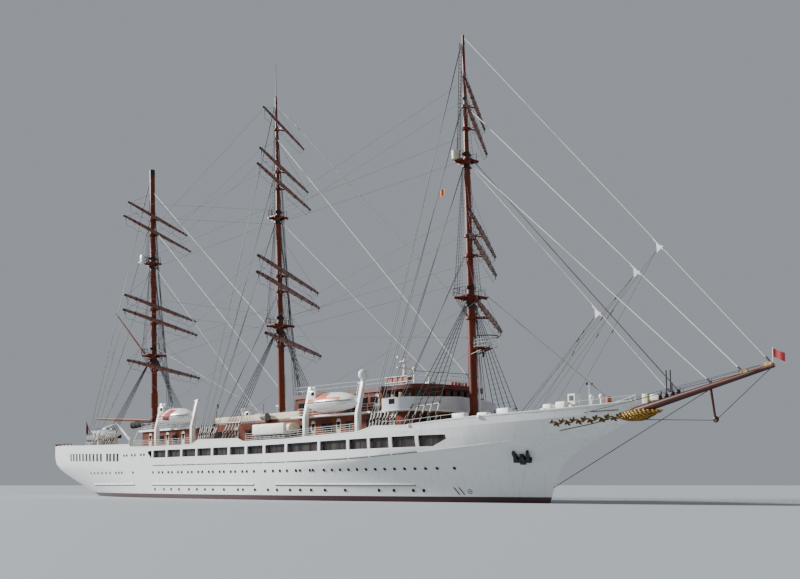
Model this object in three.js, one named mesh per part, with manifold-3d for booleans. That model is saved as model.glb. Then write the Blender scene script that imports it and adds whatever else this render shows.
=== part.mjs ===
// A three-masted full-rigged passenger sailing ship, built as a 1:10 model of the whole ship.
// Every number below is a full-size metre of the ship. The root group turns them into
// millimetres of the model: +X to the bow, +Y to port, +Z up, origin at the waterline amidships.
import * as THREE from 'three';
import { mergeVertices } from 'three/addons/utils/BufferGeometryUtils.js';
import Module from 'manifold-3d';

const MODEL_MM_PER_SHIP_METRE = 100;
const GAP = 0.003;            // 0.3 mm between pieces that touch
const CLEAR = 0.06;           // 6 mm around what turns

// Hull
const HALF_BEAM = 8.6;
const DRAUGHT = 5.65;
const DECK_Z = 7.05;          // top of the hull amidships, under the planking
const DECK_RISE = 1.95;       // how far the deck climbs from DECK_RISE_X to the stem
const DECK_RISE_X = 5;
const STEM_DECK_X = 61.1;
const STERN_DECK_X = -62.9;
const PLANK = 0.1;
const PLATING = 0.15;
const DECK_TOP = DECK_Z + PLANK;

// Promenade: a side passage behind a row of openings
const PROM_AFT = -18.4;
const PROM_FORE = 44.3;
const PROM_FLOOR = 4.78;
const PROM_HEAD = 6.95;
const PROM_DEPTH = 1.7;

// Houses
const BOAT_DECK_Z = 10.0;
const BOAT_DECK_THICK = 0.2;
const HOUSE_HALF = 6.1;
const MID_HOUSE = { aft: -4.2, fore: 35.4 };
const AFT_HOUSE = { aft: -24, fore: -8.2, eaves: 0.3, roof: 0.15 };
const COVERED_BOAT = { aft: 6.6, fore: 13.4, out: 7.9, low: 8.25, high: 9.55 };
const DODGER = { aft: -4.4, fore: 15.2, half: 5.9, thick: 0.12, top: 11.4 };
const UPPER_HALF = 5.2;
const UPPER_AFT = 13.2;
const UPPER_TOP = 12.57;
const ROOF_THICK = 0.5;
const WHEELHOUSE_AFT = 29.6;
const WHEELHOUSE_CORNER = 34.6;
const ROOF_CORNER = 35;
const WING_AFT = 32.8;
const WING_CORNER = 35.2;
const WING_HALF = 7.85;
const WING_TOP = 11.4;        // at the two ends
const WING_CROWN = 11.75;     // on the centreline
const BRIDGE_BOW = 2.2;       // how far the bridge front bows ahead of its corners

// Yards stand braced round by this angle, starboard arm forward
const BRACE = THREE.MathUtils.degToRad(35.9);

const PAINT = {
  white: [0xf1f2f0, 0.45, 0],
  teak: [0xa98a63, 0.75, 0],
  mahogany: [0x8a4420, 0.5, 0],
  mast: [0x7d3a1c, 0.45, 0],
  roof: [0x5a1a12, 0.5, 0],
  gold: [0xc9a227, 0.35, 0.8],
  black: [0x17181a, 0.6, 0.2],
  red: [0x6f2a22, 0.6, 0],
  bronze: [0xa67c3a, 0.35, 0.9],
  wire: [0x9a9ea0, 0.5, 0.6],
};

const wasm = await Module();
wasm.setup();

// Solids: small shapes joined and cut as closed bodies

function toSolid(geometry) {
  const g = geometry.index ? geometry.toNonIndexed() : geometry.clone();
  g.deleteAttribute('normal');
  g.deleteAttribute('uv');
  const merged = mergeVertices(g, 1e-4);
  return new wasm.Manifold(new wasm.Mesh({
    numProp: 3,
    vertProperties: new Float32Array(merged.attributes.position.array),
    triVerts: new Uint32Array(merged.index.array),
  }));
}

function toGeometry(solid) {
  const m = solid.getMesh();
  const g = new THREE.BufferGeometry();
  g.setAttribute('position', new THREE.BufferAttribute(new Float32Array(m.vertProperties), 3));
  g.setIndex(new THREE.BufferAttribute(new Uint32Array(m.triVerts), 1));
  return g;
}

function join(solids) {
  return solids.reduce((a, b) => a.add(b));
}

function box(x0, x1, y0, y1, z0, z1) {
  const g = new THREE.BoxGeometry(x1 - x0, y1 - y0, z1 - z0);
  g.translate((x0 + x1) / 2, (y0 + y1) / 2, (z0 + z1) / 2);
  return toSolid(g);
}

// A round bar from one point to another, with its own radius at each end
function rod(from, to, r0, r1 = r0, sides = 8) {
  const a = new THREE.Vector3(...from);
  const b = new THREE.Vector3(...to);
  const along = b.clone().sub(a);
  const g = new THREE.CylinderGeometry(r1, r0, along.length(), sides);
  g.applyQuaternion(new THREE.Quaternion().setFromUnitVectors(
    new THREE.Vector3(0, 1, 0), along.clone().normalize()));
  g.translate(...a.add(b).multiplyScalar(0.5).toArray());
  return toSolid(g);
}

// A flat outline in x and z, spread across y
function plateXZ(outline, y0, y1) {
  const shape = new THREE.Shape(outline.map(([x, z]) => new THREE.Vector2(x, z)));
  const g = new THREE.ExtrudeGeometry(shape, { depth: y1 - y0, bevelEnabled: false });
  g.rotateX(Math.PI / 2);
  g.translate(0, y1, 0);
  return toSolid(g);
}

// A flat outline in y and z, spread along x
function plateYZ(outline, x0, x1) {
  const shape = new THREE.Shape(outline.map(([y, z]) => new THREE.Vector2(y, z)));
  const g = new THREE.ExtrudeGeometry(shape, { depth: x1 - x0, bevelEnabled: false });
  g.rotateX(Math.PI / 2);
  g.rotateZ(Math.PI / 2);
  g.translate(x0, 0, 0);
  return toSolid(g);
}

// A flat outline in x and y, spread up z
function plateXY(outline, z0, z1) {
  const shape = new THREE.Shape(outline.map(([x, y]) => new THREE.Vector2(x, y)));
  const g = new THREE.ExtrudeGeometry(shape, { depth: z1 - z0, bevelEnabled: false });
  g.translate(0, 0, z0);
  return toSolid(g);
}

// Triangles across a ring, zigzag between its two sides
function lidTriangles(count) {
  const triangles = [[0, 1, count - 1]];
  let low = 1;
  let high = count - 1;
  while (low + 1 < high) {
    triangles.push([low, low + 1, high]);
    low += 1;
    if (low < high - 1) {
      triangles.push([low, high - 1, high]);
      high -= 1;
    }
  }
  return triangles;
}

// Rings of points with the same count become one closed body, with a flat lid at each end
function loft(rings) {
  const count = rings[0].length;
  const positions = rings.flat(2);
  const index = [];
  for (let r = 0; r + 1 < rings.length; r += 1) {
    for (let k = 0; k < count; k += 1) {
      const a = r * count + k;
      const b = r * count + (k + 1) % count;
      index.push(a, b, b + count, a, b + count, a + count);
    }
  }
  const last = (rings.length - 1) * count;
  for (const [a, b, c] of lidTriangles(count)) index.push(c, b, a, a + last, b + last, c + last);
  const g = new THREE.BufferGeometry();
  g.setAttribute('position', new THREE.BufferAttribute(new Float32Array(positions), 3));
  g.setIndex(index);
  let solid = toSolid(g);
  if (solid.volume() < 0) {
    for (let i = 0; i < index.length; i += 3) {
      [index[i + 1], index[i + 2]] = [index[i + 2], index[i + 1]];
    }
    g.setIndex(index);
    solid = toSolid(g);
  }
  return solid;
}

const group = new THREE.Group();
group.scale.setScalar(MODEL_MM_PER_SHIP_METRE);

function addPart(name, solid, paint) {
  const [color, roughness, metalness] = PAINT[paint];
  const material = new THREE.MeshStandardMaterial({ color, roughness, metalness });
  const mesh = new THREE.Mesh(toGeometry(solid), material);
  mesh.name = name;
  group.add(mesh);
}

// Hull lines. Each line runs round the ship at one height, from the stern tip to the stem tip.
// z is [stern, amidships, stem]; aft and fore are the tips; half is the half beam;
// the taper rows are [where it starts, power, exponent].
const LINES = [
  { z: [-5.65, -5.65, -5.65], aft: -34, fore: 43.5, half: 4.3, taperAft: [-2, 1.5, 1.5],
    taperFore: [5, 1.5, 1.5] },
  { z: [-4.7, -4.7, -4.7], aft: -37, fore: 47.0, half: 7.0, taperAft: [-2, 1.7, 1.4],
    taperFore: [5, 1.6, 1.4] },
  { z: [-2.6, -2.6, -2.6], aft: -43, fore: 49.4, half: 8.3, taperAft: [-4, 2.0, 1.2],
    taperFore: [5, 1.8, 1.3] },
  { z: [0, 0, 0], aft: -49.6, fore: 50.14, half: 8.5, taperAft: [-5, 2.35, 1], taperFore: [5, 2, 1.25] },
  { z: [2.2, 2.3, 2.77], aft: -56.0, fore: 51.25, half: 8.57, taperAft: [-8, 2.5, 0.75],
    taperFore: [8, 2.1, 1.15] },
  { z: [4.0, 3.8, 4.62], aft: -60.4, fore: 52.6, half: HALF_BEAM, taperAft: [-10, 2.7, 0.6],
    taperFore: [12, 2.3, 1.05] },
  { z: [5.5, 4.64, 7.83], aft: -62.3, fore: 59.67, half: HALF_BEAM, taperAft: [-12, 2.8, 0.5],
    taperFore: [17, 2.8, 1] },
];
const KNUCKLE_RISE = { from: 8, power: 2.6 };
const DECK_LINE = { aft: STERN_DECK_X, fore: STEM_DECK_X, half: HALF_BEAM, taperAft: [-15, 2.8, 0.5],
  taperFore: [20, 2.8, 1] };
const STATIONS_AFT = [1, 0.994, 0.978, 0.95, 0.915, 0.87, 0.82, 0.77, 0.71, 0.65, 0.58, 0.5, 0.42, 0.34,
  0.25, 0.12, 0];
const STATIONS_FORE = [0.14, 0.28, 0.36, 0.43, 0.5, 0.56, 0.62, 0.68, 0.73, 0.78, 0.83, 0.87, 0.91, 0.945,
  0.975, 1];

function halfBreadth(line, x) {
  const [from, tip, [start, power, exponent]] = x < 0
    ? [-x, -line.aft, [-line.taperAft[0], line.taperAft[1], line.taperAft[2]]]
    : [x, line.fore, line.taperFore];
  if (from <= start) return line.half;
  const s = Math.min(1, (from - start) / (tip - start));
  return line.half * (1 - s ** power) ** exponent;
}

function sheer(x) {
  const s = Math.max(0, (x - DECK_RISE_X) / (STEM_DECK_X - DECK_RISE_X));
  return DECK_Z + DECK_RISE * s ** 2.2;
}

// The deck runs straight from one station to the next
function deckHeight(x) {
  const edges = [0, ...STATIONS_FORE].map((s) => s * STEM_DECK_X);
  const k = Math.max(1, edges.findIndex((edge) => x <= edge + 1e-6));
  const [a, b] = [edges[k - 1], edges[k]];
  return x <= 0 ? DECK_Z : sheer(a) + (sheer(b) - sheer(a)) * (x - a) / (b - a);
}

function lineHeight(line, x) {
  const [zAft, zMid, zFore] = line.z;
  if (x < 0) return zMid + (zAft - zMid) * (x / line.aft) ** 2;
  const from = KNUCKLE_RISE.from;
  const s = Math.max(0, (x - from) / (line.fore - from));
  return zMid + (zFore - zMid) * s ** KNUCKLE_RISE.power;
}

function lineRing(line, height) {
  const xs = [...STATIONS_AFT.map((s) => s * line.aft), ...STATIONS_FORE.map((s) => s * line.fore)];
  const starboard = xs.map((x) => [x, -halfBreadth(line, x), height(x)]);
  const port = xs.slice(1, -1).reverse().map((x) => [x, halfBreadth(line, x), height(x)]);
  return [...starboard, ...port];
}

// The propeller shaft and the rudder stock
const SHAFT = { z: -3.9, end: -43.6, bossRadius: 0.45 };
const RUDDER = { stockX: -46.9, aft: -49.0, fore: -46.1, bottom: -5.45, top: -1.55 };

// The hull's rings, with a faired one halfway between each two lines
function hullRings() {
  const lines = LINES.map((line) => lineRing(line, (x) => lineHeight(line, x)));
  lines.push(lineRing(DECK_LINE, deckHeight));
  const curves = lines[0].map((_, k) => new THREE.CatmullRomCurve3(
    lines.map((ring) => new THREE.Vector3(...ring[k])), false, 'centripetal'));
  const steps = 2 * (lines.length - 1);
  const ringAt = (t) => curves.map((curve) => curve.getPoint(t).toArray());
  return Array.from({ length: steps + 1 }, (_, i) => ringAt(i / steps));
}

function bareHull() {
  const skeg = plateXZ([[-26, -DRAUGHT], [SHAFT.end + 0.3, -DRAUGHT], [SHAFT.end, SHAFT.z - 0.3],
    [SHAFT.end, -2.0], [-42.5, -1.4], [-38, -1.2], [-26, -3.5]], -0.3, 0.3);
  const boss = rod([-38, 0, SHAFT.z], [SHAFT.end, 0, SHAFT.z], 0.5, SHAFT.bossRadius, 10);
  return join([loft(hullRings()), skeg, boss]);
}

// The hull a little narrower, to leave plating of even thickness outside it
function hullInside() {
  const narrow = 1 - PLATING / HALF_BEAM;
  return loft(hullRings().map((ring) => ring.map(([x, y, z]) => [x, y * narrow, z])));
}

// The space of one side's promenade, from its inner wall out through the ship's side
function promenadeSpace(side, inset, shrink) {
  const xs = [PROM_AFT, -12, -6, 0, 8, 16, 20, 24, 28, 32, 35, 38, 41, PROM_FORE];
  xs[0] += shrink;
  xs[xs.length - 1] -= shrink;
  const rings = xs.map((x) => {
    const inner = side * (halfBreadth(DECK_LINE, x) - inset);
    const outer = side * (HALF_BEAM + 1);
    const rise = deckHeight(x) - DECK_Z;
    const floor = PROM_FLOOR + Math.max(0, rise - 0.1) + shrink;
    const head = PROM_HEAD + rise - shrink;
    return [[x, inner, floor], [x, outer, floor], [x, outer, head], [x, inner, head]];
  });
  return loft(rings);
}

// Openings in the ship's side: [after edge, forward edge]
const SIDE_OPENINGS = [
  [-16.2, -12.66], [-12.24, -8.69], [-8.25, -4.72], [-4.32, -0.83], [-0.39, 3.15], [3.66, 7.12],
  [7.63, 11.1], [11.6, 15.71], [16.18, 22.2], [22.64, 27.41], [27.84, 30.87], [31.23, 34.16], [34.61, 37.92],
];
const OPENING_SILL = 5.75;
const OPENING_HEAD = 6.8;
const LAST_OPENING = { aft: 38.34, fore: 41.95, slant: 1.8 };
const FIRST_OPENING = { aft: -17.9, fore: -16.65 };

function openingRise(x) {
  const s = Math.max(0, (x - 9) / 30);
  return [0.22 * s, 0.38 * s];
}

function sideOpenings(side) {
  const [y0, y1] = side < 0 ? [-9.5, -3.5] : [3.5, 9.5];
  const cuts = SIDE_OPENINGS.map(([aft, fore]) => {
    const [sillA, headA] = openingRise(aft);
    const [sillF, headF] = openingRise(fore);
    return plateXZ([[aft, OPENING_SILL + sillA], [fore, OPENING_SILL + sillF],
      [fore, OPENING_HEAD + headF], [aft, OPENING_HEAD + headA]], y0, y1);
  });
  const [sill, head] = openingRise(LAST_OPENING.aft);
  cuts.push(plateXZ([[LAST_OPENING.aft, OPENING_SILL + sill],
    [LAST_OPENING.fore - LAST_OPENING.slant, OPENING_SILL + sill],
    [LAST_OPENING.fore, OPENING_SILL + sill + 0.75], [LAST_OPENING.fore - 0.1, OPENING_HEAD + head],
    [LAST_OPENING.aft, OPENING_HEAD + head]], y0, y1));
  cuts.push(plateXZ([[FIRST_OPENING.fore - 0.25, OPENING_SILL], [FIRST_OPENING.fore, OPENING_SILL],
    [FIRST_OPENING.fore, OPENING_HEAD], [FIRST_OPENING.aft, OPENING_HEAD - 0.1],
    [FIRST_OPENING.aft + 0.1, OPENING_HEAD - 0.35]], y0, y1));
  return join(cuts);
}

function addHull() {
  const whole = bareHull();
  const inside = hullInside();
  const starboardSpace = promenadeSpace(-1, PROM_DEPTH, 0);
  const portSpace = promenadeSpace(1, PROM_DEPTH, 0);
  addPart('hull', whole.subtract(starboardSpace).subtract(portSpace).subtract(bowspritSpace()), 'white');
  for (const [name, side] of [['starboard', -1], ['port', 1]]) {
    const skin = whole.intersect(promenadeSpace(side, PROM_DEPTH - GAP, GAP)).subtract(inside);
    addPart(`promenade_side_${name}`, skin.subtract(sideOpenings(side)), 'white');
  }
}

// The planked deck, one sheet from stern to stem inside the bulwarks
function addDeck() {
  const inner = { ...DECK_LINE, aft: STERN_DECK_X + 0.4, fore: STEM_DECK_X - 1.2, half: HALF_BEAM - 0.2 };
  const low = lineRing(DECK_LINE, (x) => deckHeight(x) + GAP);
  const high = lineRing(DECK_LINE, (x) => deckHeight(x) + PLANK);
  const inBulwarks = plateXY(lineRing(inner, () => 0), DECK_Z - 1, DECK_Z + 4);
  addPart('deck_planking', loft([low, high]).intersect(inBulwarks).subtract(bowspritSpace()), 'teak');
}

// Top edge of the bulwark, as [x, height]
const BULWARK_TOP = [
  [-62.9, 8.62], [-56, 8.45], [-48.6, 8.32], [-40, 8.08], [-23.7, 7.82], [-23, 7.45], [-17, 7.33], [-6, 7.33],
  [-4.2, 7.94], [5.4, 7.8], [6.7, 7.38], [15.8, 7.4], [19.3, 7.54], [29.2, 7.8], [31.8, 8.34], [36.5, 8.26],
  [38, 8.4], [44.7, 8.85], [50, 9.12], [53.5, 9.3], [58, 9.65], [61.1, 10.0],
];
const BULWARK_THICK = 0.12;

function bulwarkTop(x) {
  const i = BULWARK_TOP.findIndex(([px], k) => k > 0 && x <= px + 1e-6);
  const [x0, z0] = BULWARK_TOP[i - 1];
  const [x1, z1] = BULWARK_TOP[i];
  return z0 + (z1 - z0) * (x - x0) / (x1 - x0);
}

function addBulwark() {
  const stations = [...STATIONS_AFT.map((s) => s * STERN_DECK_X),
    ...STATIONS_FORE.map((s) => s * STEM_DECK_X), ...BULWARK_TOP.map(([x]) => x)];
  const xs = [...new Set(stations.map((x) => Math.round(x * 20) / 20))].sort((a, b) => a - b)
    .filter((x) => x > STERN_DECK_X && x < STEM_DECK_X);
  const outline = [STERN_DECK_X, ...xs, STEM_DECK_X];
  const starboard = outline.map((x) => [x, -halfBreadth(DECK_LINE, x)]);
  const port = outline.slice(1, -1).reverse().map((x) => [x, halfBreadth(DECK_LINE, x)]);
  const loop = [...starboard, ...port];
  const wall = loop.map(([x, y], k) => {
    const [ax, ay] = loop[(k - 1 + loop.length) % loop.length];
    const [bx, by] = loop[(k + 1) % loop.length];
    const length = Math.hypot(bx - ax, by - ay);
    const [nx, ny] = [-(by - ay) / length, (bx - ax) / length];
    const atStem = Math.abs(y) < 1e-6 && x > 0;
    const inner = atStem ? [x - 0.7, y] : [x + nx * BULWARK_THICK, y + ny * BULWARK_THICK];
    const low = deckHeight(x) + GAP;
    const top = bulwarkTop(x);
    return [[x, y, low], [x, y, top], [...inner, top], [...inner, low]];
  });
  wall.push(wall[0]);
  const count = wall.length - 1;
  const positions = wall.slice(0, count).flat(2);
  const index = [];
  for (let k = 0; k < count; k += 1) {
    for (let c = 0; c < 4; c += 1) {
      const a = k * 4 + c;
      const b = k * 4 + (c + 1) % 4;
      const a2 = ((k + 1) % count) * 4 + c;
      const b2 = ((k + 1) % count) * 4 + (c + 1) % 4;
      index.push(a, a2, b2, a, b2, b);
    }
  }
  const g = new THREE.BufferGeometry();
  g.setAttribute('position', new THREE.BufferAttribute(new Float32Array(positions), 3));
  g.setIndex(index);
  addPart('bulwark', toSolid(g).subtract(bowspritSpace()), 'white');
}

function addSternGear() {
  const { stockX, aft, fore, bottom, top } = RUDDER;
  const outline = [[fore, bottom + 0.2], [aft, bottom], [aft + 0.1, top + 0.3], [fore, top]];
  const blade = plateXZ(outline, -0.16, 0.16);
  const stock = rod([stockX, 0, top - 0.5], [stockX, 0, top + 0.32], 0.2, 0.2, 10);
  addPart('rudder', blade.add(stock), 'red');

  const hub = { fore: SHAFT.end - CLEAR, aft: SHAFT.end - 1.2 };
  const bladeCount = 4;
  const solids = [rod([hub.fore, 0, SHAFT.z], [hub.aft, 0, SHAFT.z], 0.42, 0.2, 12)];
  for (let k = 0; k < bladeCount; k += 1) {
    const g = new THREE.CylinderGeometry(0.42, 0.42, 0.08, 12);
    g.scale(1, 1, 1.6);
    g.translate(0, 0, 0.75);
    g.rotateZ(THREE.MathUtils.degToRad(58));
    g.rotateX(k * 2 * Math.PI / bladeCount);
    g.translate(SHAFT.end - 0.6, 0, SHAFT.z);
    solids.push(toSolid(g));
  }
  addPart('propeller', join(solids), 'bronze');
}

// The bowed front of the bridge: points from starboard to port, for a curve of this half width
const FRONT_STATIONS = [-1, -0.94, -0.82, -0.64, -0.4, -0.14, 0.14, 0.4, 0.64, 0.82, 0.94, 1];

function frontCurve(corner, half, stations = FRONT_STATIONS) {
  return stations.map((s) => [corner + BRIDGE_BOW * (1 - Math.abs(s) ** 3) ** 0.6, s * half]);
}

// Houses on deck
function addHouses() {
  const floor = (x) => deckHeight(x) + PLANK + GAP;
  const sink = 0.05;
  // Lower house under the boat deck, with the covered boats standing against its sides
  const { aft, fore } = MID_HOUSE;
  const xs = [aft, 0, ...STATIONS_FORE.map((s) => s * STEM_DECK_X).filter((x) => x < fore), fore];
  const top = BOAT_DECK_Z - GAP;
  const house = plateXZ([...xs.map((x) => [x, floor(x)]), [fore, top], [aft, top]], -HOUSE_HALF, HOUSE_HALF);
  const covered = COVERED_BOAT;
  addPart('deckhouse_midship', join([house,
    box(covered.aft, covered.fore, -covered.out, sink - HOUSE_HALF, covered.low, covered.high),
    box(covered.aft, covered.fore, HOUSE_HALF - sink, covered.out, covered.low, covered.high),
  ]), 'mahogany');

  const wallTop = BOAT_DECK_Z - AFT_HOUSE.roof;
  const eaves = HOUSE_HALF + AFT_HOUSE.eaves;
  addPart('deckhouse_aft', join([
    box(AFT_HOUSE.aft, AFT_HOUSE.fore, -HOUSE_HALF, HOUSE_HALF, floor(AFT_HOUSE.fore), wallTop),
    box(AFT_HOUSE.aft - AFT_HOUSE.eaves, AFT_HOUSE.fore + AFT_HOUSE.eaves, -eaves, eaves, wallTop,
      BOAT_DECK_Z),
  ]), 'mahogany');

  // Boat deck: [after edge, forward edge, half width], with a screen round its after part
  const slabs = [[DODGER.aft, 15.4, DODGER.half], [15.2, 30.2, 7.4], [30, WING_AFT + 0.1, 6.6]];
  const z0 = BOAT_DECK_Z;
  const z1 = BOAT_DECK_Z + BOAT_DECK_THICK;
  const deck = slabs.map(([a, f, half]) => box(a, f, -half, half, z0, z1));
  deck.push(plateXY([[WING_AFT, WING_HALF], [WING_AFT, -WING_HALF], ...frontCurve(WING_CORNER, WING_HALF)],
    z0, z1));
  const inner = DODGER.half - DODGER.thick;
  const screen = [
    box(DODGER.aft, DODGER.fore, -DODGER.half, -inner, z1 - sink, DODGER.top),
    box(DODGER.aft, DODGER.fore, inner, DODGER.half, z1 - sink, DODGER.top),
    box(DODGER.aft, DODGER.aft + DODGER.thick, -DODGER.half, DODGER.half, z1 - sink, DODGER.top),
  ];
  addPart('boat_deck', join([...deck, ...screen]), 'white');

  const z = z1 + GAP;
  const upper = box(UPPER_AFT, WHEELHOUSE_AFT - GAP, -UPPER_HALF, UPPER_HALF, z, UPPER_TOP);
  addPart('deckhouse_upper', upper, 'mahogany');
  addWheelhouse(z);
  addPart('bridge_wings', bridgeWings(z), 'white');
}

const WHEELHOUSE = { wall: 0.14, floor: 0.1, sill: 11.45, head: 12.45, frontWindows: 9, sideWindows: 4,
  post: 0.18 };
const ROOF_EAVES = { aft: 13, step: 30, side: 0.15, wide: 0.6 };

function addWheelhouse(z) {
  const half = UPPER_HALF;
  const { wall, floor, sill, head, frontWindows, sideWindows, post } = WHEELHOUSE;
  const through = 0.5;
  const pitch = (2 * half - post) / frontWindows;
  const corners = Array.from({ length: frontWindows - 1 }, (_, k) => (post / 2 + (k + 1) * pitch) / half - 1);
  const stations = [-1, ...corners, 1];
  const walls = (inset) => {
    const y = half - inset;
    const x = WHEELHOUSE_AFT + inset;
    return [[x, y], [x, -y], ...frontCurve(WHEELHOUSE_CORNER - inset, y, stations)];
  };
  const shell = plateXY(walls(0), z, UPPER_TOP).subtract(plateXY(walls(wall), z + floor, UPPER_TOP + 1));
  const front = Array.from({ length: frontWindows }, (_, k) => {
    const y0 = -half + post + k * pitch;
    const y1 = y0 + pitch - post;
    return box(WHEELHOUSE_CORNER - 1, WHEELHOUSE_CORNER + BRIDGE_BOW + through, y0, y1, sill, head);
  });
  const run = (WHEELHOUSE_CORNER - WHEELHOUSE_AFT - post) / sideWindows;
  const sides = Array.from({ length: sideWindows }, (_, k) => {
    const x0 = WHEELHOUSE_AFT + post + k * run;
    return box(x0, x0 + run - post, -half - through, half + through, sill, head);
  });
  addPart('wheelhouse', shell.subtract(join([...front, ...sides])), 'mahogany');

  // The roof is wider over the wheelhouse and follows its bowed front
  const roofZ = UPPER_TOP + GAP;
  const { aft, step, side, wide } = ROOF_EAVES;
  const starboard = [[aft, -half - side], [step, -half - side], [step, -half - wide]];
  const port = starboard.map(([x, y]) => [x, -y]).reverse();
  const outline = [...starboard, ...frontCurve(ROOF_CORNER, half + wide), ...port];
  addPart('bridge_roof', plateXY(outline, roofZ, roofZ + ROOF_THICK), 'roof');
}

// Bulwark of the bridge wings: the bowed front, the two ends, and short after walls towards the house.
// Its top climbs from the ends to the middle.
function bridgeWings(z) {
  const t = 0.12;
  const afterWall = UPPER_HALF + 0.9;
  const outer = frontCurve(WING_CORNER, WING_HALF);
  const inner = frontCurve(WING_CORNER - t, WING_HALF - t).reverse();
  const walls = join([
    plateXY([...outer, ...inner], z, WING_CROWN),
    box(WING_AFT, WING_CORNER, -WING_HALF, t - WING_HALF, z, WING_CROWN),
    box(WING_AFT, WING_CORNER, WING_HALF - t, WING_HALF, z, WING_CROWN),
    box(WING_AFT, WING_AFT + t, -WING_HALF, -afterWall, z, WING_CROWN),
    box(WING_AFT, WING_AFT + t, afterWall, WING_HALF, z, WING_CROWN),
  ]);
  return walls.intersect(plateYZ([[-WING_HALF, z], [WING_HALF, z], [WING_HALF, WING_TOP], [0, WING_CROWN],
    [-WING_HALF, WING_TOP]], WING_AFT, WING_CORNER + BRIDGE_BOW));
}

// Lifeboats under davits: one pair forward, one pair aft
const BOATS = [
  { name: 'fore', x: 23.7, z: 11.45 },
  { name: 'aft', x: -11.8, z: 11.45 },
];
const BOAT = { length: 9.0, half: 1.45, low: 1.0, high: 1.25, y: 7.4 };

function lifeboat(x, y, z) {
  const rings = [-1, -0.93, -0.75, -0.4, 0, 0.4, 0.75, 0.93, 1].map((s) => {
    const fullness = (1 - Math.abs(s) ** 3.2) ** 0.5;
    const half = Math.max(0.08, BOAT.half * fullness);
    const low = BOAT.low * (1 - 0.75 * Math.abs(s) ** 4);
    const high = BOAT.high * (1 - 0.8 * Math.abs(s) ** 3);
    const cx = x + s * BOAT.length / 2;
    return [[0, -low], [0.6, -low * 0.75], [0.95, -low * 0.2], [1, 0.1], [0.75, high * 0.55], [0.3, high],
      [-0.3, high], [-0.75, high * 0.55], [-1, 0.1], [-0.95, -low * 0.2], [-0.6, -low * 0.75],
    ].map(([v, w]) => [cx, y + v * half, z + w]);
  });
  return loft(rings);
}

const DAVIT = { foot: 8.05, headY: 7.0, headHalf: 0.22, thick: 0.42, spread: 4.9, knee: 10.3, head: 13.7 };
const FALL = { at: 4.1, radius: 0.05, foot: 0.52 };

// Two davit arms on a shared sill, each with the fall that carries its end of the boat
function davits(x, boatZ, side) {
  const z0 = deckHeight(x + 5.5) + PLANK + GAP;
  const arm = (at) => plateYZ([
    [side * (DAVIT.foot - 0.6), z0], [side * DAVIT.foot, z0], [side * (DAVIT.foot + 0.05), DAVIT.knee - 0.4],
    [side * (DAVIT.headY + DAVIT.headHalf), DAVIT.head], [side * (DAVIT.headY - DAVIT.headHalf), DAVIT.head],
    [side * (DAVIT.foot - 0.6), DAVIT.knee + 0.1],
  ], at - DAVIT.thick / 2, at + DAVIT.thick / 2);
  const sillY = side * (DAVIT.foot - 0.3);
  const sill = box(x - DAVIT.spread, x + DAVIT.spread, sillY - 0.2, sillY + 0.2, z0, z0 + 0.25);
  const falls = [-1, 1].map((end) => {
    const y = side * DAVIT.headY;
    const fallX = x + end * FALL.at;
    const hook = [fallX, side * BOAT.y, boatZ + FALL.foot];
    const z = DAVIT.head - 0.15;
    return join([
      rod([x + end * DAVIT.spread, y, z], [fallX - end * 0.1, y, z], 0.12, 0.12, 6),
      rod([fallX, y, z], hook, FALL.radius, FALL.radius, 6),
    ]);
  });
  return join([arm(x - DAVIT.spread), arm(x + DAVIT.spread), sill, ...falls]);
}

function addBoats() {
  for (const { name, x, z } of BOATS) {
    for (const [sideName, side] of [['starboard', -1], ['port', 1]]) {
      addPart(`lifeboat_${name}_${sideName}`, lifeboat(x, side * BOAT.y, z), 'white');
      addPart(`davits_${name}_${sideName}`, davits(x, z, side), 'white');
    }
  }
}

// Masts: foot and head heights, rake, and steps as [height, radius]
const MASTS = {
  fore: { x: 39.74, rake: 0.0312, foot: 0, lowerTop: 22.9, upperTop: 38.8, steps: [[22.9, 0.47], [24, 0.4],
    [38.8, 0.36], [40, 0.3], [54.0, 0.14]] },
  main: { x: 3.865, rake: 0.0508, foot: BOAT_DECK_Z + BOAT_DECK_THICK, lowerTop: 23.7, upperTop: 39.1,
    steps: [[23.7, 0.47], [24.8, 0.4], [39.1, 0.36], [40.3, 0.3], [56.8, 0.14], [57, 0.07], [61.8, 0.05]] },
  mizzen: { x: -30.53, rake: 0.0649, foot: 0, lowerTop: 22.7, upperTop: 38.0, steps: [[14.2, 0.475],
    [14.3, 0.6], [16.6, 0.6], [16.8, 0.475], [22.7, 0.475], [24, 0.46], [38, 0.45], [39.5, 0.44],
    [53.9, 0.42]] },
};

function mastX(mast, z) {
  return mast.x - mast.rake * z;
}

function mastRadius(mast, z) {
  let below = [0, 0.475];
  for (const step of mast.steps) {
    if (z <= step[0]) return below[1] + (step[1] - below[1]) * (z - below[0]) / (step[0] - below[0]);
    below = step;
  }
  return below[1];
}

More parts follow.
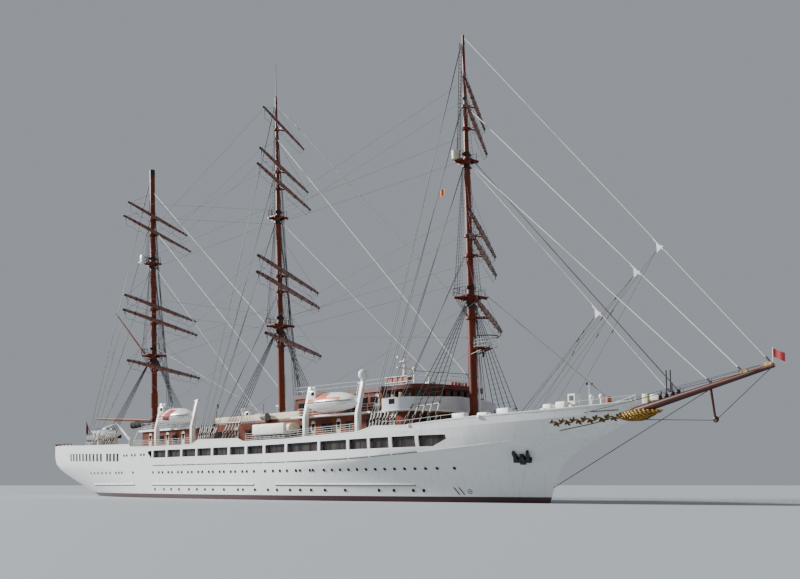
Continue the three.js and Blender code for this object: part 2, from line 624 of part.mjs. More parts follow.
function mastSolid(mast) {
  const footZ = (mast.foot || deckHeight(mast.x + 0.6) + PLANK) + GAP;
  const profile = [[0, footZ - 1], [0.475, footZ - 1], ...mast.steps.map(([z, r]) => [r, z])];
  profile.push([0, mast.steps.at(-1)[0]]);
  const g = new THREE.LatheGeometry(profile.map(([r, z]) => new THREE.Vector2(r, z)), 12);
  g.rotateX(Math.PI / 2);
  const shear = new THREE.Matrix4().set(1, 0, -mast.rake, mast.x, 0, 1, 0, 0, 0, 0, 1, 0, 0, 0, 0, 1);
  g.applyMatrix4(shear);
  const spar = toSolid(g);
  const platform = (z, half, length) => {
    const x = mastX(mast, z);
    return join([
      plateXY([[x - length * 0.45, -half], [x + length * 0.3, -half * 0.8], [x + length * 0.55, 0],
        [x + length * 0.3, half * 0.8], [x - length * 0.45, half]], z, z + 0.14),
      box(x - length * 0.4, x + length * 0.35, -0.5, -0.3, z - 0.35, z + 0.02),
      box(x - length * 0.4, x + length * 0.35, 0.3, 0.5, z - 0.35, z + 0.02),
    ]);
  };
  const solid = join([spar, platform(mast.lowerTop, 1.7, 2.9), platform(mast.upperTop, 1.15, 2.2)]);
  return solid.subtract(box(mast.x - 3, mast.x + 3, -2, 2, footZ - 3, footZ));
}

// Yards: mast, name, height, length, distance ahead of the mast, middle radius
const YARDS = [
  ['fore', 'course', 20.56, 22.4, 2.13, 0.3],
  ['fore', 'lower_topsail', 27.72, 23.5, 1.65, 0.28],
  ['fore', 'upper_topsail', 30.02, 23.3, 1.65, 0.27],
  ['fore', 'lower_topgallant', 42.65, 19.5, 1.22, 0.24],
  ['fore', 'upper_topgallant', 45.35, 16.6, 1.22, 0.22],
  ['main', 'course', 20.94, 25.2, 2.13, 0.3],
  ['main', 'lower_topsail', 28.52, 28.3, 1.65, 0.3],
  ['main', 'upper_topsail', 30.73, 27.4, 1.65, 0.28],
  ['main', 'lower_topgallant', 43.32, 24.0, 1.22, 0.25],
  ['main', 'upper_topgallant', 45.77, 21.7, 1.22, 0.24],
  ['main', 'royal', 51.99, 18.3, 1.22, 0.2],
  ['mizzen', 'course', 20.32, 27.7, 2.13, 0.3],
  ['mizzen', 'lower_topsail', 27.98, 28.4, 1.65, 0.28],
  ['mizzen', 'upper_topsail', 30.33, 27.2, 1.65, 0.28],
  ['mizzen', 'lower_topgallant', 42.83, 25.8, 1.22, 0.25],
  ['mizzen', 'upper_topgallant', 45.41, 22.6, 1.22, 0.24],
];

function yardSolid([mastName, , z, length, reach, radius]) {
  const mast = MASTS[mastName];
  const half = length / 2;
  const inner = mastRadius(mast, z) + CLEAR;
  const spar = join([
    rod([reach, 0, z], [reach, half, z], radius, radius * 0.5, 10),
    rod([reach, 0, z], [reach, -half, z], radius, radius * 0.5, 10),
  ]);
  const collar = new THREE.LatheGeometry([[inner, -0.16], [inner + 0.14, -0.16], [inner + 0.14, 0.16],
    [inner, 0.16], [inner, -0.16]].map(([r, h]) => new THREE.Vector2(r, h)), 16);
  collar.rotateX(Math.PI / 2);
  collar.translate(0, 0, z);
  const arms = [-1, 1].map((s) => rod([inner + 0.05, s * 0.1, z], [reach, s * 0.8, z], 0.09, 0.09, 6));
  return join([spar, toSolid(collar), ...arms]);
}

function addMasts() {
  for (const [name, mast] of Object.entries(MASTS)) {
    addPart(`mast_${name}`, mastSolid(mast), 'mast');
  }
  for (const yard of YARDS) {
    const mast = MASTS[yard[0]];
    const turn = new THREE.Matrix4().makeRotationZ(BRACE);
    turn.setPosition(mastX(mast, yard[2]), 0, 0);
    const g = toGeometry(yardSolid(yard));
    g.applyMatrix4(turn);
    addPart(`yard_${yard[0]}_${yard[1]}`, toSolid(g), 'mast');
  }
}

// Gaff and boom of the spanker, both hinged on the after side of the mizzen
const GAFF = { z: 21.3, peakX: -45.3, peakZ: 31.1, radius: 0.2 };
const BOOM = { z: 12.2, endX: -51.4, endZ: 13.3, radius: 0.28 };

function addSpanker() {
  const mast = MASTS.mizzen;
  for (const [name, spar, x1, z1] of [['spanker_gaff', GAFF, GAFF.peakX, GAFF.peakZ],
    ['spanker_boom', BOOM, BOOM.endX, BOOM.endZ]]) {
    const inner = mastRadius(mast, spar.z) + CLEAR;
    const x = mastX(mast, spar.z);
    const collar = new THREE.LatheGeometry([[inner, -0.16], [inner + 0.14, -0.16], [inner + 0.14, 0.16],
      [inner, 0.16], [inner, -0.16]].map(([r, h]) => new THREE.Vector2(r, h)), 16);
    collar.rotateX(Math.PI / 2);
    collar.translate(x, 0, spar.z);
    const pole = rod([x - inner - 0.07, 0, spar.z], [x1, 0, z1], spar.radius, spar.radius * 0.6, 10);
    addPart(name, join([toSolid(collar), pole]), 'mast');
  }
}

// Bowsprit with its dolphin striker, its heel let into the stem
const BOWSPRIT = { heelX: 59.9, tipX: 75.25, tipZ: 12.22, slope: 0.2272, heelRadius: 0.44, tipRadius: 0.19,
  sides: 12 };
const STRIKER = { x: 69.0, rake: 0.45, lowZ: 7.5, topRadius: 0.12, lowRadius: 0.1, ball: 0.3 };

function bowspritZ(x) {
  return BOWSPRIT.tipZ - BOWSPRIT.slope * (BOWSPRIT.tipX - x);
}

function bowspritRadius(x) {
  const { heelX, tipX, heelRadius, tipRadius } = BOWSPRIT;
  return heelRadius + (tipRadius - heelRadius) * (x - heelX) / (tipX - heelX);
}

// A length of the bowsprit's own cone, a little thicker where it makes room for the spar
function bowspritCone(from, to, extra) {
  return rod([from, 0, bowspritZ(from)], [to, 0, bowspritZ(to)], bowspritRadius(from) + extra,
    bowspritRadius(to) + extra, BOWSPRIT.sides);
}

function bowspritSpace() {
  return bowspritCone(BOWSPRIT.heelX - GAP, BOWSPRIT.heelX + 5, 1.5 * GAP);
}

function addBowsprit() {
  const spar = bowspritCone(BOWSPRIT.heelX, BOWSPRIT.tipX, 0);
  const foot = [STRIKER.x + STRIKER.rake, 0, STRIKER.lowZ];
  const striker = rod([STRIKER.x, 0, bowspritZ(STRIKER.x)], foot, STRIKER.topRadius, STRIKER.lowRadius, 8);
  const ball = new THREE.SphereGeometry(STRIKER.ball, 8, 6);
  ball.rotateX(Math.PI / 2);
  ball.translate(foot[0], 0, STRIKER.lowZ + STRIKER.ball);
  addPart('bowsprit', join([spar, striker, toSolid(ball)]), 'mast');
}

// Gilded figurehead: a bird with swept wings on both sides of the stem, under the bowsprit
const FIGURE_RINGS = [
  { x: 58.9, z: 8.55, half: 0.85, high: 0.3 },
  { x: 60.2, z: 8.57, half: 0.9, high: 0.57 },
  { x: 61.4, z: 8.62, half: 0.82, high: 0.66 },
  { x: 62.3, z: 8.68, half: 0.56, high: 0.5 },
  { x: 63.0, z: 8.78, half: 0.3, high: 0.26 },
  { x: 63.9, z: 8.92, half: 0.07, high: 0.05 },
];

function addFigurehead() {
  const points = 10;
  const rings = FIGURE_RINGS.map(({ x, z, half, high }) => Array.from({ length: points }, (_, k) => {
    const a = k * 2 * Math.PI / points;
    return [x, half * Math.cos(a), z + high * Math.sin(a)];
  }));
  const stem = toGeometry(bareHull());
  stem.translate(2 * GAP, 0, -2 * GAP);
  const deck = toGeometry(loft([-0.1, 3].map((rise) => lineRing(DECK_LINE, (x) => deckHeight(x) + rise))));
  deck.translate(2 * GAP, 0, 0);
  const free = loft(rings).subtract(toSolid(stem)).subtract(bowspritSpace()).subtract(toSolid(deck));
  addPart('figurehead', free, 'gold');
}

// Anchors hauled up on the flare of the bow: a crown with a short shank and two upright flukes.
// The point lies on the ship's side, with the way out of the side and the way forward along it.
const ANCHOR = { at: [48.45, -2.36, 4.8], out: [0.25, -0.55, -0.8], along: [0.9, 0.43, -0.014], thick: 0.5,
  proud: 0.16 };

function anchor(side) {
  const half = ANCHOR.thick / 2;
  const shapes = [
    [[-0.95, -0.55], [0.95, -0.55], [0.95, -0.2], [-0.95, -0.2]],
    [[-0.3, -0.85], [0.3, -0.85], [0.38, -0.3], [0.2, 0.35], [-0.2, 0.35], [-0.38, -0.3]],
    [[0.4, -0.5], [0.78, -0.5], [0.86, 0.95], [0.62, 1.0]],
    [[-0.78, -0.5], [-0.4, -0.5], [-0.62, 1.0], [-0.86, 0.95]],
  ];
  const solid = join(shapes.map((outline) => plateXZ(outline, -half, half)));
  const mirrored = ([x, y, z]) => new THREE.Vector3(x, side < 0 ? y : -y, z);
  const out = mirrored(ANCHOR.out).normalize();
  const along = mirrored(ANCHOR.along).normalize();
  const up = out.clone().cross(along).multiplyScalar(-side).normalize();
  const across = up.clone().cross(along).normalize();
  const pose = new THREE.Matrix4().makeBasis(along, across, up);
  pose.setPosition(mirrored(ANCHOR.at).addScaledVector(out, ANCHOR.proud));
  const geometry = toGeometry(solid);
  geometry.applyMatrix4(pose);
  const skin = toGeometry(bareHull());
  skin.translate(...out.multiplyScalar(2 * GAP).toArray());
  return toSolid(geometry).subtract(toSolid(skin));
}

// Gear on the roof, the foredeck and the after deck
const RADAR = { x: 30.2, y: -2, top: 16.3, armLow: 15.4, armHalf: 1.2, seat: 0.45, scannerHalf: 1.2 };
const DOME = { x: 28.6, z: 14.5, radius: 0.62, column: 0.3 };
const WINDLASS = { aft: 50.2, fore: 51.3, half: 1.6, bed: 0.5, drum: 0.42, drumZ: 0.85, gearbox: 0.35,
  top: 1.5 };
const CRANE = { foot: [-29.6, -5], post: 0.35, postTop: 9.0, arm: [[-29.5, -5, 8.7], [-34.3, -5, 11.65]],
  armRadius: 0.28 };
const TENDER = { x: -37.2, y: -5, halfLength: 3.8, half: 1.1, rail: 10.6, bilge: 0.45, keel: 9.1,
  cradles: [-39.4, -35.4] };

function addRoofGear() {
  const roof = UPPER_TOP + ROOF_THICK + 2 * GAP;
  const { x, y, top, armLow, armHalf, seat, scannerHalf } = RADAR;
  addPart('radar_mast', join([
    rod([x, y, roof], [x, y, top], 0.3, 0.18, 10),
    box(x - 0.1, x + 0.1, y - armHalf, y + armHalf, armLow, armLow + 0.15),
    box(x - seat, x + seat, y - seat, y + seat, top - 0.1, top),
  ]), 'white');
  addPart('radar_scanner', join([
    rod([x, y, top + CLEAR], [x, y, top + 0.3], 0.15, 0.15, 10),
    box(x - 0.12, x + 0.12, y - scannerHalf, y + scannerHalf, top + 0.28, top + 0.5),
  ]), 'white');

  // Satellite dome on its column over the forward davit
  const dome = new THREE.SphereGeometry(DOME.radius, 12, 8);
  dome.rotateX(Math.PI / 2);
  dome.translate(DOME.x, -DAVIT.headY, DOME.z);
  const column = rod([DOME.x, -DAVIT.headY, DAVIT.head + GAP], [DOME.x, -DAVIT.headY, DOME.z - 0.4],
    DOME.column, 0.25, 10);
  addPart('satellite_dome', join([toSolid(dome), column]), 'white');
}

function addDeckGear() {
  for (const [name, side] of [['starboard', -1], ['port', 1]]) {
    addPart(`anchor_${name}`, anchor(side), 'black');
  }
  const { aft, fore, half, bed, drum, drumZ, gearbox, top } = WINDLASS;
  const fz = deckHeight(fore + 0.2) + PLANK + GAP;
  const middle = (aft + fore) / 2;
  addPart('windlass', join([
    box(aft, fore, -half, half, fz, fz + bed),
    rod([middle, -half - 0.3, fz + drumZ], [middle, half + 0.3, fz + drumZ], drum, drum, 12),
    box(aft + 0.1, fore - 0.1, -gearbox, gearbox, fz, fz + top),
  ]), 'white');

  // Stern crane and the tender it lifts, which stands on two cradles
  const qz = DECK_TOP + GAP;
  addPart('stern_crane', join([
    rod([...CRANE.foot, qz], [...CRANE.foot, CRANE.postTop], CRANE.post, 0.3, 10),
    rod(...CRANE.arm, CRANE.armRadius, 0.18, 8),
  ]), 'white');
  const craft = TENDER;
  const hull = loft([-1, -0.8, -0.3, 0.3, 0.75, 1].map((s) => {
    const wide = craft.half * Math.max(0.12, 1 - Math.max(0, s) ** 2.5);
    const x = craft.x + s * craft.halfLength;
    const keel = craft.keel + 0.5 * Math.max(0, s) ** 2;
    const bilge = keel + craft.bilge;
    return [[x, craft.y - wide, craft.rail], [x, craft.y - wide * 0.75, bilge], [x, craft.y, keel],
      [x, craft.y + wide * 0.75, bilge], [x, craft.y + wide, craft.rail]];
  }));
  const cradles = craft.cradles.map((x) => box(x - 0.12, x + 0.12, craft.y - 0.7, craft.y + 0.7, qz,
    craft.keel + 0.35));
  addPart('work_boat', join([hull, ...cradles]), 'white');
}

// Main stays, as [mast, name, height at the mast, far end x, far end z]; all lie on the centreline
const STAYS = [
  ['fore', 'royal', 53.6, 75.0, 12.4],
  ['fore', 'topmast', 38.3, 64.95, 10.29],
  ['fore', 'lower', 24.4, 59.45, 9.02],
  ['main', 'royal', 55.6, 38.52, 21.4],
  ['main', 'topmast', 38.6, 34.3, 13.12],
  ['mizzen', 'topmast', 37.5, -0.3, 10.25],
];
const STAY_RADIUS = 0.035;

function addStays() {
  for (const [mastName, name, z0, x1, z1] of STAYS) {
    const mast = MASTS[mastName];
    const startX = mastX(mast, z0) + mastRadius(mast, z0) + 0.04;
    const wire = rod([startX, 0, z0], [x1, 0, z1], STAY_RADIUS, STAY_RADIUS, 6);
    addPart(`stay_${mastName}_${name}`, wire, 'wire');
  }
}

addHull();
addDeck();
addBulwark();
addSternGear();
addHouses();
addBoats();
addMasts();
addSpanker();
addBowsprit();
addFigurehead();
addRoofGear();
addDeckGear();
addStays();

export default group;
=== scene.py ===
import math

import bmesh
import bpy
from mathutils import Matrix, Vector
from mathutils.bvhtree import BVHTree


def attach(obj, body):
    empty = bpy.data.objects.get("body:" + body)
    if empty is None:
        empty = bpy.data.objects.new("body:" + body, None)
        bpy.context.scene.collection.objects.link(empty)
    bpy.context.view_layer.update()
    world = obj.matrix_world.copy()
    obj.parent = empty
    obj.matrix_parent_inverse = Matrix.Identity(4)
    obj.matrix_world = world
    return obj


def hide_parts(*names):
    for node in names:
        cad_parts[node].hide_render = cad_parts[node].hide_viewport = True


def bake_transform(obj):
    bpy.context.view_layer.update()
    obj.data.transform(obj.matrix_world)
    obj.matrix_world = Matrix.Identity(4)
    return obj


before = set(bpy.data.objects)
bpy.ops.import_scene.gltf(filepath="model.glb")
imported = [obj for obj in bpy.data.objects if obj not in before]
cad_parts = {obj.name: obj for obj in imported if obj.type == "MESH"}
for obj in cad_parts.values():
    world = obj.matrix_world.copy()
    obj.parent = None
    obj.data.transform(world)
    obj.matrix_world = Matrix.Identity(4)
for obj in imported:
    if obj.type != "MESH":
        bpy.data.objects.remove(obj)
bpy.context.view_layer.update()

# Camera: low over the water off the starboard bow, with a lens a little longer than normal. Its place
# was solved from the photo's waterline, the rake of the masts and the spacing of the decks.
camera_data = bpy.data.cameras.new("water_level_camera")
camera_data.sensor_width = 36
camera_data.lens = 47.485
camera_data.shift_y = 0.11
camera_data.clip_end = 200
camera = bpy.data.objects.new("water_level_camera", camera_data)
camera.location = (12.0428, -8.52126, 0.19592)
camera.rotation_euler = (math.radians(90 + 5.775), 0, math.radians(47.5756))
bpy.context.scene.collection.objects.link(camera)
bpy.context.scene.camera = camera


# Floor and light: a pale plain floor at the waterline, a broad pale sky and one soft sun from
# far aft on the starboard side, so the bridge front and the flare of the bow fall into shade
def linear(hex_colour):
    channels = [int(hex_colour[k:k + 2], 16) / 255 for k in (1, 3, 5)]
    return [c / 12.92 if c <= 0.04045 else ((c + 0.055) / 1.055) ** 2.4 for c in channels] + [1.0]


def add_node(tree, kind, sockets=(), **settings):
    node = tree.nodes.new(kind)
    for name, value in settings.items():
        setattr(node, name, value)
    for socket, value in dict(sockets).items():
        if isinstance(value, bpy.types.NodeSocket):
            tree.links.new(value, node.inputs[socket])
        else:
            node.inputs[socket].default_value = value
    return node


floor_paint = bpy.data.materials.new("pale_studio_floor")
floor_paint.use_nodes = True
floor_shader = floor_paint.node_tree.nodes["Principled BSDF"]
floor_shader.inputs["Base Color"].default_value = linear("#A0A6A9")
floor_shader.inputs["Roughness"].default_value = 0.85
floor_mesh = bmesh.new()
bmesh.ops.create_grid(floor_mesh, x_segments=1, y_segments=1, size=150)
floor_data = bpy.data.meshes.new("studio_floor")
floor_mesh.to_mesh(floor_data)
floor_mesh.free()
floor_data.materials.append(floor_paint)
floor = bpy.data.objects.new("studio_floor", floor_data)
bpy.context.scene.collection.objects.link(floor)

sky = bpy.data.worlds.new("pale_sky")
sky.use_nodes = True
sky_light = sky.node_tree.nodes["Background"]
sky_light.inputs["Color"].default_value = linear("#C3CAD3")
sky_light.inputs["Strength"].default_value = 0.56
bpy.context.scene.world = sky
sun_data = bpy.data.lights.new("soft_sun", "SUN")
sun_data.energy = 8.5
sun_data.angle = math.radians(8)
sun = bpy.data.objects.new("soft_sun", sun_data)
sun.rotation_euler = Vector((-0.82, -0.435, 0.38)).to_track_quat("Z", "Y").to_euler()
bpy.context.scene.collection.objects.link(sun)

# Hull: welded steel plates under gloss white enamel, with a maroon boot-top at the water and red
# below it. The solids' own forms are used, merged and shaded smooth between their hard edges.
# Everything is written in metres of the real ship; place() brings it to the model's size.
SHIP = 0.1
BOOT_TOP = 0.62
SIDES = {"starboard": -1, "port": 1}


def finish(name, colour, roughness, second=None, patch_mm=80, stretch=(1, 1, 1),
           relief_mm=0, metallic=0, specular=0.5):
    """A painted or worked surface: two close colours in soft patches, with a little relief."""
    material = bpy.data.materials.new(name)
    material.use_nodes = True
    tree = material.node_tree
    shader = tree.nodes["Principled BSDF"]
    shader.inputs["Base Color"].default_value = linear(colour)
    shader.inputs["Roughness"].default_value = roughness
    shader.inputs["Metallic"].default_value = metallic
    shader.inputs["Specular IOR Level"].default_value = specular
    if second:
        where = add_node(tree, "ShaderNodeTexCoord")
        along = add_node(tree, "ShaderNodeMapping", {"Vector": where.outputs["Object"], "Scale": stretch})
        cloud = add_node(tree, "ShaderNodeTexNoise", {
            "Vector": along.outputs[0], "Scale": 1000 / patch_mm, "Detail": 4, "Roughness": 0.6})
        steps = add_node(tree, "ShaderNodeMapRange", {
            "Value": cloud.outputs[0], "From Min": 0.35, "From Max": 0.65})
        blend = add_node(tree, "ShaderNodeMix", {
            0: steps.outputs[0], 6: linear(colour), 7: linear(second)}, data_type="RGBA")
        tree.links.new(blend.outputs[2], shader.inputs["Base Color"])
        if relief_mm:
            bump = add_node(tree, "ShaderNodeBump", {
                "Height": cloud.outputs[0], "Strength": 0.5, "Distance": relief_mm / 1000})
            tree.links.new(bump.outputs[0], shader.inputs["Normal"])
    return material


def cad_copy(*nodes):
    bm = bmesh.new()
    for node in nodes:
        bm.from_mesh(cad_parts[node].data)
    bmesh.ops.scale(bm, vec=(1 / SHIP,) * 3, verts=bm.verts)
    bmesh.ops.remove_doubles(bm, verts=bm.verts, dist=0.0005)
    return bm


def place(name, bm, material, body="ship", hard_angle=35, replaces=()):
    """The finished mesh as a piece at the model's size, riding on its body."""
    bmesh.ops.scale(bm, vec=(SHIP,) * 3, verts=bm.verts)
    mesh = bpy.data.meshes.new(name)
    bm.to_mesh(mesh)
    bm.free()
    if mesh.has_custom_normals:
        mesh.attributes.remove(mesh.attributes["custom_normal"])
    mesh.materials.append(material)
    mesh.shade_smooth()
    mesh.set_sharp_from_angle(angle=math.radians(hard_angle))
    piece = bpy.data.objects.new(name, mesh)
    bpy.context.scene.collection.objects.link(piece)
    if body:
        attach(piece, body)
    if replaces:
        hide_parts(*replaces)
    return piece


def dress(name, node, material, body="ship", hard_angle=35):
    """A CAD node's own form as the piece that stands in its place."""
    place(name, cad_copy(node), material, body, hard_angle, replaces=[node])


def hull_enamel():
    """Gloss enamel rolled on steel plate: faint streaks and plate seams, and a colour for each height."""
    material = finish("gloss_hull_enamel", "#F2F3F1", 0.32)
    tree = material.node_tree
    shader = tree.nodes["Principled BSDF"]
    where = add_node(tree, "ShaderNodeTexCoord")
    height = add_node(tree, "ShaderNodeSeparateXYZ", {"Vector": where.outputs["Object"]})
    streaks = add_node(tree, "ShaderNodeMapping", {"Vector": where.outputs["Object"], "Scale": (9, 9, 0.7)})
    run = add_node(tree, "ShaderNodeTexNoise", {"Vector": streaks.outputs[0], "Scale": 3, "Detail": 5})
    faint = add_node(tree, "ShaderNodeMapRange", {
        "Value": run.outputs[0], "From Min": 0.5, "From Max": 0.85, "To Max": 0.5})
    coat = add_node(tree, "ShaderNodeMix", {
        0: faint.outputs[0], 6: linear("#E9EAE9"), 7: linear("#C6CAC9")}, data_type="RGBA")
    for top, paint in ((BOOT_TOP, "#3F1D20"), (0.0, "#7A2E27")):
        below = add_node(tree, "ShaderNodeMath", {
            0: height.outputs["Z"], 1: top * SHIP}, operation="LESS_THAN")
        coat = add_node(tree, "ShaderNodeMix", {
            0: below.outputs[0], 6: coat.outputs[2], 7: linear(paint)}, data_type="RGBA")
    tree.links.new(coat.outputs[2], shader.inputs["Base Color"])
    # Plates are 6 m by 2 m on the ship, so 600 mm by 200 mm here
    upright = add_node(tree, "ShaderNodeMapping", {
        "Vector": where.outputs["Object"], "Rotation": (math.radians(90), 0, 0)})
    plates = add_node(tree, "ShaderNodeTexBrick", {
        "Vector": upright.outputs[0], "Color1": (1, 1, 1, 1), "Color2": (0.9, 0.9, 0.9, 1),
        "Mortar": (0, 0, 0, 1), "Scale": 1, "Mortar Size": 0.004, "Brick Width": 0.6, "Row Height": 0.2})
    seams = add_node(tree, "ShaderNodeBump", {
        "Height": plates.outputs[0], "Strength": 0.25, "Distance": 0.002})
    tree.links.new(seams.outputs[0], shader.inputs["Normal"])
    return material


enamel = hull_enamel()
dress("hull_shell", "hull", enamel, hard_angle=28)
for side_name in SIDES:
    dress(f"promenade_plating_{side_name}", f"promenade_side_{side_name}", enamel)
dress("bulwark_plating", "bulwark", enamel)

# Rubbing strakes and the knuckle moulding that climbs to the bow: half-round steel welded to the side,
# painted white. Under each strake, and as the gutter line under the promenade with a break at each pillar,
# a thin nearly black bar is painted shadow: it stands for the shade that these ledges cast.
# Brushed ship paint dries to half a gloss, so its highlights are wide and soft.
white_paint = finish("white_ship_paint", "#F0F1EE", 0.4, "#DFE1DE", 120)
# Nearly black paint for the painted shadow lines under the strakes and along the promenade's foot
shadow_line_paint = finish("painted_shadow_line", "#2E3234", 0.5, "#3C4144", 60)
STRAKES = [(-40, -22.2), (-16.6, 9.1), (13.6, 35.0)]
STRAKE_HEIGHT = 1.96
PILLARS = [-16.4, -12.45, -8.47, -4.52, -0.61, 3.4, 7.37, 11.35, 15.95, 22.42, 27.62, 31.05, 34.38,
           38.13, 41.95]


def skin_of(*nodes):
    """The nodes' outer surface, to lay small pieces on."""
    bm = cad_copy(*nodes)
    surface = BVHTree.FromBMesh(bm)
    bm.free()
    return surface


skin = skin_of("hull", "promenade_side_starboard", "promenade_side_port", "bulwark")


def on_skin(x, z, side=-1):
    """Where the ship's side is at that length and height, and the way it faces."""
    hit = skin.ray_cast(Vector((x, side * 14, z)), Vector((0, -side, 0)))
    return hit[0], hit[1]


def turned_to(facing, axis="Z", up="Y"):
    return facing.to_track_quat(axis, up).to_matrix().to_4x4()


def bar(bm, start, end, radius, end_radius=None, sides=6):
    start, end = Vector(start), Vector(end)
    along = end - start
    bmesh.ops.create_cone(bm, cap_ends=True, segments=sides, radius1=radius,
                          radius2=radius if end_radius is None else end_radius, depth=along.length,
                          matrix=Matrix.Translation((start + end) / 2) @ turned_to(along))


def path_bar(bm, points, radius, sides=6):
    for a, b in zip(points, points[1:]):
        bar(bm, a, b, radius, sides=sides)


def steps_between(a, b, count):
    return [a + (b - a) * k / (count - 1) for k in range(count)]


def knuckle_height(x):
    return 4.64 + 3.19 * (max(0, x - 8) / 51.67) ** 2.6


def skin_line(bm, x0, x1, height, radius, side, spacing=1.2):
    count = max(2, round((x1 - x0) / spacing) + 1)
    points = [on_skin(x, height(x), side)[0] for x in steps_between(x0, x1, count)]
    path_bar(bm, points, radius, 6)


strakes = bmesh.new()
shadow_lines = bmesh.new()
for side in (-1, 1):
    for x0, x1 in STRAKES:
        skin_line(strakes, x0, x1, lambda x: STRAKE_HEIGHT, 0.13, side)
        # A painted shadow line just under the strake
        skin_line(shadow_lines, x0, x1, lambda x: STRAKE_HEIGHT - 0.16, 0.06, side)
    skin_line(strakes, 37.7, 57.4, knuckle_height, 0.035, side)
    # The gutter line: dashes of painted shadow between the pillars
    for x0, x1 in zip(PILLARS[:-1], PILLARS[1:-1]):
        skin_line(shadow_lines, x0 + 0.15, x1 - 0.15, knuckle_height, 0.07, side, 1.0)
place("rubbing_strakes", strakes, white_paint)
place("painted_shadow_lines", shadow_lines, shadow_line_paint)

# Portholes and the slot windows of the stern: glass set in the plating behind a thin white rim, so
# dark that it hardly mirrors. They run in pairs amidships and in even steps towards the bow.
dark_glass = finish("dark_cabin_glass", "#101214", 0.2, specular=0.2)
PORT_RADIUS = 0.2
UPPER_PORTS = ([-37.9 + 1.56 * k for k in range(6)] + [-28, -26.95, -25.9, -22.25, -16.15]
               + [-14.45 + 2.64 * (k // 2) + 1.0 * (k % 2) for k in range(18)]
               + [9.26, 11.65, 13.33, 14.76, 16.14, 17.87, 18.61, 20.41, 20.94, 22.81]
               + [24.12 + 1.3 * k for k in range(11)] + [38.5, 40.5])
LOWER_PORTS = [-15.8, -13.1, -11.1, -8.95, -6.27, -4.22, -2.21, -0.24, 2.4, 5.65, 6.8, 9.35, 12, 13.8, 16.2,
               18, 19.85, 22.1, 25.2, 30, 32, 34.5, 35.8]
HIGH_PORTS = [-25.0, -24.1, -22.5, -21.55, -19.75, -18.85]
STERN_SLOTS = [-45.7 + 1.42 * k for k in range(10)] + [-30.67, -29.63, -28.33, -27.14]
port_glass = bmesh.new()
port_rims = bmesh.new()


def port_light(x, z, side):
    spot, facing = on_skin(x, z, side)
    for bm, radius, depth in ((port_rims, PORT_RADIUS + 0.05, 0.05), (port_glass, PORT_RADIUS, 0.09)):
        bmesh.ops.create_cone(bm, cap_ends=True, segments=12, radius1=radius, radius2=radius, depth=depth,
                              matrix=Matrix.Translation(spot) @ turned_to(facing))


for side in (-1, 1):
    for x in UPPER_PORTS:
        port_light(x, 3.57 + 0.0035 * abs(x - 9), side)
    for xs, z in ((LOWER_PORTS, 1.27), (HIGH_PORTS, 6.25)):
        for x in xs:
            port_light(x, z, side)
    for x in STERN_SLOTS:
        spot, facing = on_skin(x, 6.0 + 0.0195 * (-27.1 - x), side)
        for bm, size in ((port_rims, (0.66, 0.05, 1.3)), (port_glass, (0.54, 0.09, 1.18))):
            bmesh.ops.create_cube(bm, size=1, matrix=Matrix.Translation(spot) @ turned_to(facing, "Y", "Z")
                                  @ Matrix.Diagonal((*size, 1)))
place("port_glass", port_glass, dark_glass)
place("port_rims", port_rims, white_paint)

# Promenade: behind each opening a glazed screen, set between thin posts. Its opaque panes are painted
# with the wooden wall beyond as it looks in shade, dark and in uneven upright stripes: painted shade.
promenade_panes_painted_shade = finish("promenade_panes_painted_shade", "#4B4644", 0.14, "#2A2423", 70, stretch=(1, 1, 0.02))
BEAM_HALF = 8.6
DECK_TOP = 7.15
SCREEN_FOOT = 5.2
SCREEN_HEAD = 6.93


def deck_edge(x):
    """Half the deck's width: straight amidships, then curved in to the stem and round the stern."""
    if x > 20:
        return BEAM_HALF * max(0, 1 - ((x - 20) / 41.1) ** 2.8)
    if x < -15:
        return BEAM_HALF * max(0, 1 - ((-x - 15) / 47.9) ** 2.8) ** 0.5
    return BEAM_HALF


def deck_top(x):
    """The deck's height: level aft, and rising with the sheer to the bow."""
    return DECK_TOP + 1.95 * max(0, (x - 5) / 56.1) ** 2.2


def panel(bm, start, end, z0, z1, thick):
    """An upright plate from one point of the plan to another."""
    a, b = Vector((*start, (z0 + z1) / 2)), Vector((*end, (z0 + z1) / 2))
    turn = Matrix.Rotation(math.atan2(b.y - a.y, b.x - a.x), 4, "Z")
    bmesh.ops.create_cube(bm, size=1, matrix=Matrix.Translation((a + b) / 2) @ turn
                          @ Matrix.Diagonal(((b - a).length, thick, z1 - z0, 1)))


screens = bmesh.new()
posts = bmesh.new()
screen_ends = [-17.9] + PILLARS
for side in (-1, 1):
    for x0, x1 in zip(screen_ends, screen_ends[1:]):
        rise = deck_top((x0 + x1) / 2) - DECK_TOP
        xs = steps_between(x0, x1, max(1, round((x1 - x0) / 1.9)) + 1)
        for a, b in zip(xs, xs[1:]):
            start, end = [(x, side * (deck_edge(x) - 0.42)) for x in (a, b)]
            panel(screens, start, end, SCREEN_FOOT + rise, SCREEN_HEAD + rise, 0.03)
            bar(posts, (*start, SCREEN_FOOT + rise), (*start, SCREEN_HEAD + rise), 0.05, sides=4)
place("promenade_screens", screens, promenade_panes_painted_shade)
place("promenade_posts", posts, finish("brown_screen_post", "#5A4A42", 0.5, "#463932", 30), hard_angle=60)

# Deck: narrow teak planks laid fore and aft on the steel and caulked, scrubbed to a dull pale brown.
# Planks and seams are drawn wider than real ones, 200 mm on the ship, so that they show.
teak = finish("scrubbed_teak", "#B79C76", 0.75)
teak_tree = teak.node_tree
teak_where = add_node(teak_tree, "ShaderNodeTexCoord")
teak_planks = add_node(teak_tree, "ShaderNodeTexBrick", {
    "Vector": teak_where.outputs["Object"], "Color1": linear("#BCA17B"), "Color2": linear("#A98D67"),
    "Mortar": linear("#3E342A"), "Scale": 1, "Mortar Size": 0.001, "Brick Width": 0.7, "Row Height": 0.02})
teak_tree.links.new(teak_planks.outputs[0], teak_tree.nodes["Principled BSDF"].inputs["Base Color"])
dress("teak_planking", "deck_planking", teak)

